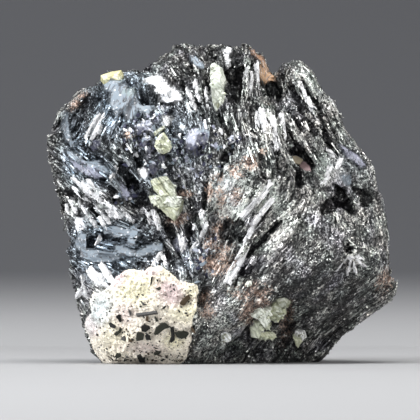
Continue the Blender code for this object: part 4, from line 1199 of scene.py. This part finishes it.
dice = random.Random(31)
bm = new_tinted()
for x0, z0, x1, z1, width, bright in BRIGHT_BLADES:
    side = Vector((z0 - z1, x1 - x0)).normalized() * 0.5 * width
    body = [(x0 + side.x, z0 + side.y), (x1 + side.x, z1 + side.y)]
    body += [(x1 - side.x, z1 - side.y), (x0 - side.x, z0 - side.y)]
    middle, normal = resting_plane(mass_front, body)
    start, end = on_plane(x0, z0, middle, normal), on_plane(x1, z1, middle, normal)
    across = normal.cross(end - start).normalized()
    length = (end - start).length / MM
    for _ in range(max(LEAST_LATHS, round(LATHS_DEEP * width * length / LATH_WIDTH))):
        part = dice.uniform(*LATH_PARTS)
        shift = dice.uniform(0.0, 1.0 - part) + 0.5 * part
        aside = 0.5 * dice.uniform(-1.0, 1.0) * dice.uniform(0.6, 1.15) * (width - LATH_WIDTH)
        out = normal * dice.uniform(*LATH_LIFT)
        place = start + (end - start) * shift + (across * aside + out) * MM
        half, edge = 0.5 * length * part, 0.5 * (LATH_WIDTH * dice.uniform(*LATH_WIDTHS))
        skew = dice.uniform(*LATH_SKEW)
        outline = [(-half, -edge), (half + skew, -edge), (half, edge), (-half - skew, edge)]
        face_way = normal + BLADE_LEAN + across * dice.uniform(-LATH_ROLL, LATH_ROLL)
        # Each lath's painted highlight, brighter or duller at random.
        light = min(1.0, bright * dice.uniform(*LATH_SHADES))
        long_way = end - start + across * dice.uniform(-LATH_FAN, LATH_FAN) * length * MM
        ring = ring_around(place, long_way, face_way, outline)
        add_plate(bm, ring, face_way, SMALL_DEPTH, (light, light, light * 1.01, 1.0), 0.8)
finished_piece("bright_blades", bm, blade_finish())

# ------------------------------------------------------------------
# Pale crystals: straw and greenish-white feldspar or barite grown between the plates, with flat
# broken faces. They are fixed by the plates around them.
CRYSTAL_PROUD = 0.3
CRYSTAL_DEPTH = 0.7
CRYSTAL_LIFTS = (0.05, 0.3)
CRYSTAL_SLIDE, CRYSTAL_SLOPE = 0.25, 0.35  # of a crystal's top
CHIPS_PER_AREA = 5.0  # small broken faces on each square millimetre of a crystal
CHIP_LENGTHS = (0.3, 0.8)
CHIP_WIDTHS = (0.2, 0.45)
CHIP_LEAN = 0.45  # how far the broken faces lean the way the blades do
CHIP_SPREAD = 0.6
CHIP_LIFTS = (0.35, 0.6)
CHIP_MARGIN = 0.15


def crystal_finish():
    material, place = new_finish("pale_crystals")
    tint = stored(place, "tint", "Color")
    amount, height = flat_cells(place, 0.6 * MM)
    bands = {"wave_type": "BANDS", "bands_direction": "DIAGONAL"}
    wave = {"Vector": place, "Scale": 1000.0, "Distortion": 4.0, "Detail": 2.0, "Detail Scale": 2.0}
    ribs = place.node("ShaderNodeTexWave", bands, wave, 1)
    shade = (noise_wire(place, 1100.0).mask(3.0, 1.6) + ribs * 1.8 - 0.9).clamped()
    return fed(
        material,
        Base_Color=(shade * 0.6).blend(amount.mask(1.4, 0.8).blend(tint, GREEN_WHITE), DEEP_STRAW),
        Roughness=(amount * 0.25 + 0.25).clamped(),
        Coat_Weight=0.3,
        Normal=tilted(height, 0.4),
    )


dice = random.Random(3)
bm = new_tinted()
for tint, outline in PALE_CRYSTALS:
    middle, normal = resting_plane(mass_front, outline)
    ring = ring_on_plane(outline, middle + normal * dice.uniform(*CRYSTAL_LIFTS) * MM, normal)
    top = add_plate(bm, ring, normal, CRYSTAL_DEPTH, tint, 0.7, CRYSTAL_PROUD)
    slide, slope = to_one_side(dice, CRYSTAL_SLIDE) * MM, to_one_side(dice, CRYSTAL_SLOPE)
    for vert in top:
        vert.co += slide + normal * (vert.co - middle).dot(slope)
    (left, low), (right, high) = np.min(outline, axis=0), np.max(outline, axis=0)
    for _ in range(round(CHIPS_PER_AREA * (right - left) * (high - low))):
        x, z = dice.uniform(left, right), dice.uniform(low, high)
        if depth_inside(x, z, outline) < CHIP_MARGIN:
            continue
        spot = on_plane(x, z, middle, normal) + normal * dice.uniform(*CHIP_LIFTS) * MM
        face_way = normal + BLADE_LEAN * CHIP_LEAN + to_one_side(dice, CHIP_SPREAD)
        turn = dice.uniform(*ANY_TURN)
        chip = chip_outline(dice, CHIP_LENGTHS, CHIP_WIDTHS)
        # The DEEP_STRAW chips are painted shade among the lighter ones.
        chip_tint = dice.choice((tint, tint, GREEN_WHITE, PALE_STRAW, DEEP_STRAW))
        add_chip(bm, spot, turn, face_way, chip, chip_tint, 0.7, 0.1)
finished_piece("pale_crystals", bm, crystal_finish())

# ------------------------------------------------------------------
# The small plates: laths and scales of hematite by the thousand, lying in the grain side by side,
# each grown into the mass along one edge. Where the light meets a flat side it flashes, and each
# plate's colour also holds a painted flash.
TREE_INPUTS = {
    "Geometry": ("Geometry",),
    "String": ("Where",),
    "Int": ("Seed", "Sides"),
    "Float": (
        "Density", "Shortest", "Longest", "Width", "Thickness", "Least lean", "Most lean", "Proud",
        "Stray", "Glow spread",
    ),
    "Material": ("Material",),
}


def plate_tree():
    """Scatters plates over a surface: each runs along the grain and leans to one side."""
    tree = bpy.data.node_groups.new("plates_in_the_grain", "GeometryNodeTree")
    for kind, names in TREE_INPUTS.items():
        for name in names:
            tree.interface.new_socket(name, in_out="INPUT", socket_type="NodeSocket" + kind)
    tree.interface.new_socket("Geometry", in_out="OUTPUT", socket_type="NodeSocketGeometry")
    group = tree.nodes.new("NodeGroupInput")
    given = {socket.name: Wire(tree, socket) for socket in group.outputs if socket.name}
    start, seed, sides = given["Geometry"], given["Seed"], given["Sides"]

    def made(kind, settings=None, **sockets):
        return start.node("GeometryNode" + kind, settings, sockets)

    def named(name, kind="FLOAT"):
        return made("InputNamedAttribute", {"data_type": kind}, Name=name)

    def chance(least, most, number, kind="FLOAT"):
        """A random value for each plate: numbers and directions have sockets of their own."""
        low, high, output = (0, 1, 0) if kind == "FLOAT_VECTOR" else (2, 3, 1)
        sockets = {low: least, high: most, 8: seed + number}
        return start.node("FunctionNodeRandomValue", {"data_type": kind}, sockets, output)

    density = named(given["Where"]) * given["Density"]
    spread = made("DistributePointsOnFaces", Mesh=start, Density=density, Seed=seed)
    stray = chance((-1.0, -1.0, -1.0), (1.0, 1.0, 1.0), 3, "FLOAT_VECTOR")
    facing, run = named("facing", "FLOAT_VECTOR"), named("run", "FLOAT_VECTOR")
    way = run.vectors("ADD", stray.scaled(given["Stray"]))
    grain = facing.vectors("CROSS_PRODUCT", way).vectors("CROSS_PRODUCT", facing)
    across = facing.vectors("CROSS_PRODUCT", grain)
    lean = chance(given["Least lean"], given["Most lean"], 4)
    sine, cosine = start.math("SINE", lean), start.math("COSINE", lean)
    side = start.math("SIGN", chance(-1.0, 0.55, 5))
    plate_faces = facing.scaled(cosine).vectors("ADD", across.scaled(sine * side))
    axes = {"primary_axis": "X", "secondary_axis": "Z"}
    turn = start.node("FunctionNodeAxesToRotation", axes, {0: grain, 1: plate_faces})
    length = chance(given["Shortest"], given["Longest"], 6)
    width = given["Width"] * chance(0.6, 1.25, 7)
    thickness = given["Thickness"] * chance(0.7, 1.3, 8)
    size = start.node("ShaderNodeCombineXYZ", {}, {0: length, 1: width, 2: thickness})
    out = facing.scaled(given["Proud"] * chance(0.2, 1.0, 9) - width * 0.5 * sine)
    moved = made("SetPosition", Geometry=spread, Offset=out)
    blade = made("MeshCylinder", {"fill_type": "NGON"}, Vertices=sides, Radius=0.5, Depth=1.0)
    half_side = start.math("DIVIDE", 1.0, sides) * math.pi
    turned = start.node("ShaderNodeCombineXYZ", {}, {2: half_side})
    blunt = made("Transform", Geometry=blade, Rotation=turned)
    laid = made("InstanceOnPoints", Points=moved, Instance=blunt, Rotation=turn, Scale=size)
    # Each plate's painted brightness: the skin's glow and painted light, and a random painted flash
    # for each plate.
    light = named("glow") * 0.7 + 0.1 + named("lit") * 0.25
    light = light + chance(-0.5, 0.5, 10) * given["Glow spread"]
    kept = {"data_type": "FLOAT", "domain": "INSTANCE"}
    marked = made("StoreNamedAttribute", kept, Geometry=laid, Name="glow", Value=light.clamped())
    whole = made("RealizeInstances", Geometry=marked)
    finished = made("SetMaterial", Geometry=whole, Material=given["Material"])
    tree.links.new(finished.socket, tree.nodes.new("NodeGroupOutput").inputs[0])
    return tree


def keep_in_box(mesh, corners_each):
    """Drops the plates that would stand past the solid's own box or under its rest face."""
    low, high = (np.array(corner) for corner in cad_bounds)
    low, high = low - LEEWAY * np.array((1, 1, 0)), high + LEEWAY
    table = table_of(mesh.vertices, "co")
    outside = ((table < low) | (table > high)).any(axis=1).reshape(-1, corners_each).any(axis=1)
    bm = bmesh.new()
    bm.from_mesh(mesh)
    bm.verts.ensure_lookup_table()
    dropped = [bm.verts[number] for number in np.flatnonzero(np.repeat(outside, corners_each))]
    bmesh.ops.delete(bm, geom=dropped, context="VERTS")
    bm.to_mesh(mesh)
    bm.free()


def scatter(name, tree, surface, **choices):
    """A piece made by a tree over a surface. Choices are the tree's inputs by name."""
    piece = new_object(name, surface.data.copy())
    grown = piece.modifiers.new("grown", "NODES")
    grown.node_group = tree
    for socket in tree.interface.items_tree:
        if socket.in_out == "INPUT" and socket.name in choices:
            grown[socket.identifier] = choices[socket.name]
    mesh = plain_mesh(piece)
    for extra in ("tip", "lit", "laths", "scales", "facing", "leaf", "leaf_tint"):
        if extra in mesh.attributes:
            mesh.attributes.remove(mesh.attributes[extra])
    mesh.name = name
    keep_in_box(mesh, 2 * choices["Sides"])
    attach(piece, "root")


def lath_finish():
    material, place = new_finish("laths_and_scales")
    glow, rust, cool = (stored(place, name) for name in ("glow", "rust", "cool"))
    amount, height = flat_cells(drawn_out(place), 0.15 * MM)
    return fed(
        material,
        # Each cell painted lighter or darker at random: painted glints.
        Base_Color=plate_metal(place, (glow + amount * 0.4 - 0.2).clamped(), rust, cool),
        Metallic=(0.85 - rust * 0.5).clamped(),
        Roughness=(0.2 + amount * 0.2 + rust * 0.2).clamped(),
        Normal=tilted(height, 0.35),
    )


# Each kind of plate: where it lies, how many to the square metre, seed, lengths, width and
# thickness in millimetres, leans in radians from lying flat, how proud, stray and spread of glow.
SMALL_PLATES = {
    "long_laths": ("laths", 13.0e6, 21, (1.0, 3.0), 0.27, 0.10, (0.05, 0.6), 0.06, 0.08, 1.0),
    "short_laths": ("laths", 22.0e6, 47, (0.7, 1.9), 0.21, 0.08, (0.2, 1.0), 0.05, 0.12, 1.2),
    "glitter_scales": ("scales", 9.0e6, 63, (0.3, 0.85), 0.18, 0.06, (0.1, 0.8), 0.03, 0.3, 1.2),
}
plates = plate_tree()
lath_metal = lath_finish()
for name, kind in SMALL_PLATES.items():
    where, density, seed, lengths, width, thickness, leans, proud, stray, spread = kind
    choices = {
        "Where": where, "Density": density, "Seed": seed, "Sides": 4, "Shortest": lengths[0] * MM,
        "Longest": lengths[1] * MM, "Width": width * MM, "Thickness": thickness * MM,
        "Least lean": leans[0], "Most lean": leans[1], "Proud": proud * MM, "Stray": stray,
        "Glow spread": spread, "Material": lath_metal,
    }
    scatter(name, plates, skin, **choices)

# ------------------------------------------------------------------
# The table it rests on, a plain backdrop, soft lamps and the camera.
FLOOR_GREY = (0.29, 0.29, 0.295, 1.0)
BACKDROP_GREY = (0.050, 0.051, 0.056, 1.0)
TABLE_REACH = 4.0
FLOOR_END = 0.10
SWEEP = 0.25  # radius of the bend between the table and the backdrop
BACKDROP_HALF = 0.25
BACKDROP_TOP = 0.6
FADE_HEIGHT = 0.010


def plain_grey(name, low_grey, high_grey, roughness):
    """A plain paper that fades from one grey at the table to another above it."""
    material, place = new_finish(name)
    height = place.node("ShaderNodeSeparateXYZ", {}, {0: place}, 2)
    smooth = {"interpolation_type": "SMOOTHSTEP"}
    fade = place.node("ShaderNodeMapRange", smooth, {0: height, 1: 0.0, 2: FADE_HEIGHT})
    fade = (fade + noise_wire(place, 9.0) * 0.04).clamped()
    return fed(material, Base_Color=fade.blend(low_grey, high_grey), Roughness=roughness)


def sheet_of(name, profile, half, material):
    """A sheet swept along X, to half its width either side, over a profile of Y and Z."""
    bm = bmesh.new()
    rows = [[bm.verts.new((x, y, z)) for x in (-half, half)] for y, z in profile]
    for low, high in zip(rows, rows[1:]):
        bm.faces.new((low[0], low[1], high[1], high[0])).smooth = True
    sheet = built(name, bm)
    cover(sheet, material)
    return sheet


turns = [math.radians(5 * step) for step in range(19)]
bend = [(FLOOR_END + SWEEP * math.sin(turn), SWEEP - SWEEP * math.cos(turn)) for turn in turns]
paper = plain_grey("pale_table", FLOOR_GREY, FLOOR_GREY, 0.7)
floor = sheet_of("floor", [(-TABLE_REACH, 0.0), (FLOOR_END, 0.0)], TABLE_REACH, paper)
paper = plain_grey("grey_paper", FLOOR_GREY, BACKDROP_GREY, 0.9)
backdrop = sheet_of("backdrop", bend + [(FLOOR_END + SWEEP, BACKDROP_TOP)], BACKDROP_HALF, paper)

MIDDLE = Vector((-1.5, 0.0, 18.3)) * MM  # what the camera and the lamps look at
CAMERA_AWAY = 1.2
CAMERA_LENS = 857.0
CAMERA_RISE = math.radians(0.3)
WHITE_LIGHT = (1.0, 1.0, 1.0)
OVERHEAD_POWER = 0.9
ROOM_GREY = (0.16, 0.17, 0.19, 1.0)
ROOM_POWER = 0.62

# Each lamp's place from the middle, width, height, power and colour.
SOFT_LAMPS = {
    "left_softbox": ((-0.32, -0.20, 0.20), 0.22, 0.30, 2.5, (0.96, 0.98, 1.0)),
    "top_softbox": ((0.02, -0.10, 0.40), 0.30, 0.16, 1.95, WHITE_LIGHT),
    "right_softbox": ((0.36, -0.12, 0.10), 0.12, 0.26, 0.8, (1.0, 0.98, 0.95)),
    "back_softbox": ((-0.26, 0.34, 0.30), 0.20, 0.16, 0.6, WHITE_LIGHT),
    "front_fill": ((0.05, -0.45, 0.10), 0.10, 0.10, 0.42, WHITE_LIGHT),
}


def aimed(name, data, place):
    """A lamp or camera at a place from the middle, turned to look at the middle."""
    thing = new_object(name, data)
    thing.location = MIDDLE + place
    thing.rotation_euler = (MIDDLE - thing.location).to_track_quat("-Z", "Y").to_euler()
    return thing


for name, (place, width, height, power, colour) in SOFT_LAMPS.items():
    lamp = bpy.data.lights.new(name, "AREA")
    lamp.shape = "RECTANGLE"
    lamp.size, lamp.size_y = width, height
    lamp.energy = power
    lamp.color = colour
    aimed(name, lamp, Vector(place))

overhead = bpy.data.lights.new("overhead", "SUN")
overhead.energy = OVERHEAD_POWER
overhead.angle = math.radians(90.0)
new_object("overhead", overhead)

world = bpy.data.worlds.new("studio")
world.use_nodes = True
glow_all_round = world.node_tree.nodes["Background"].inputs
glow_all_round["Color"].default_value = ROOM_GREY
glow_all_round["Strength"].default_value = ROOM_POWER
bpy.context.scene.world = world
bpy.context.scene.view_settings.view_transform = "Standard"

camera_data = bpy.data.cameras.new("camera")
camera_data.lens = CAMERA_LENS
camera_data.clip_start = 0.01
back_and_up = Vector((0.0, -math.cos(CAMERA_RISE), math.sin(CAMERA_RISE)))
bpy.context.scene.camera = aimed("camera", camera_data, back_and_up * CAMERA_AWAY)
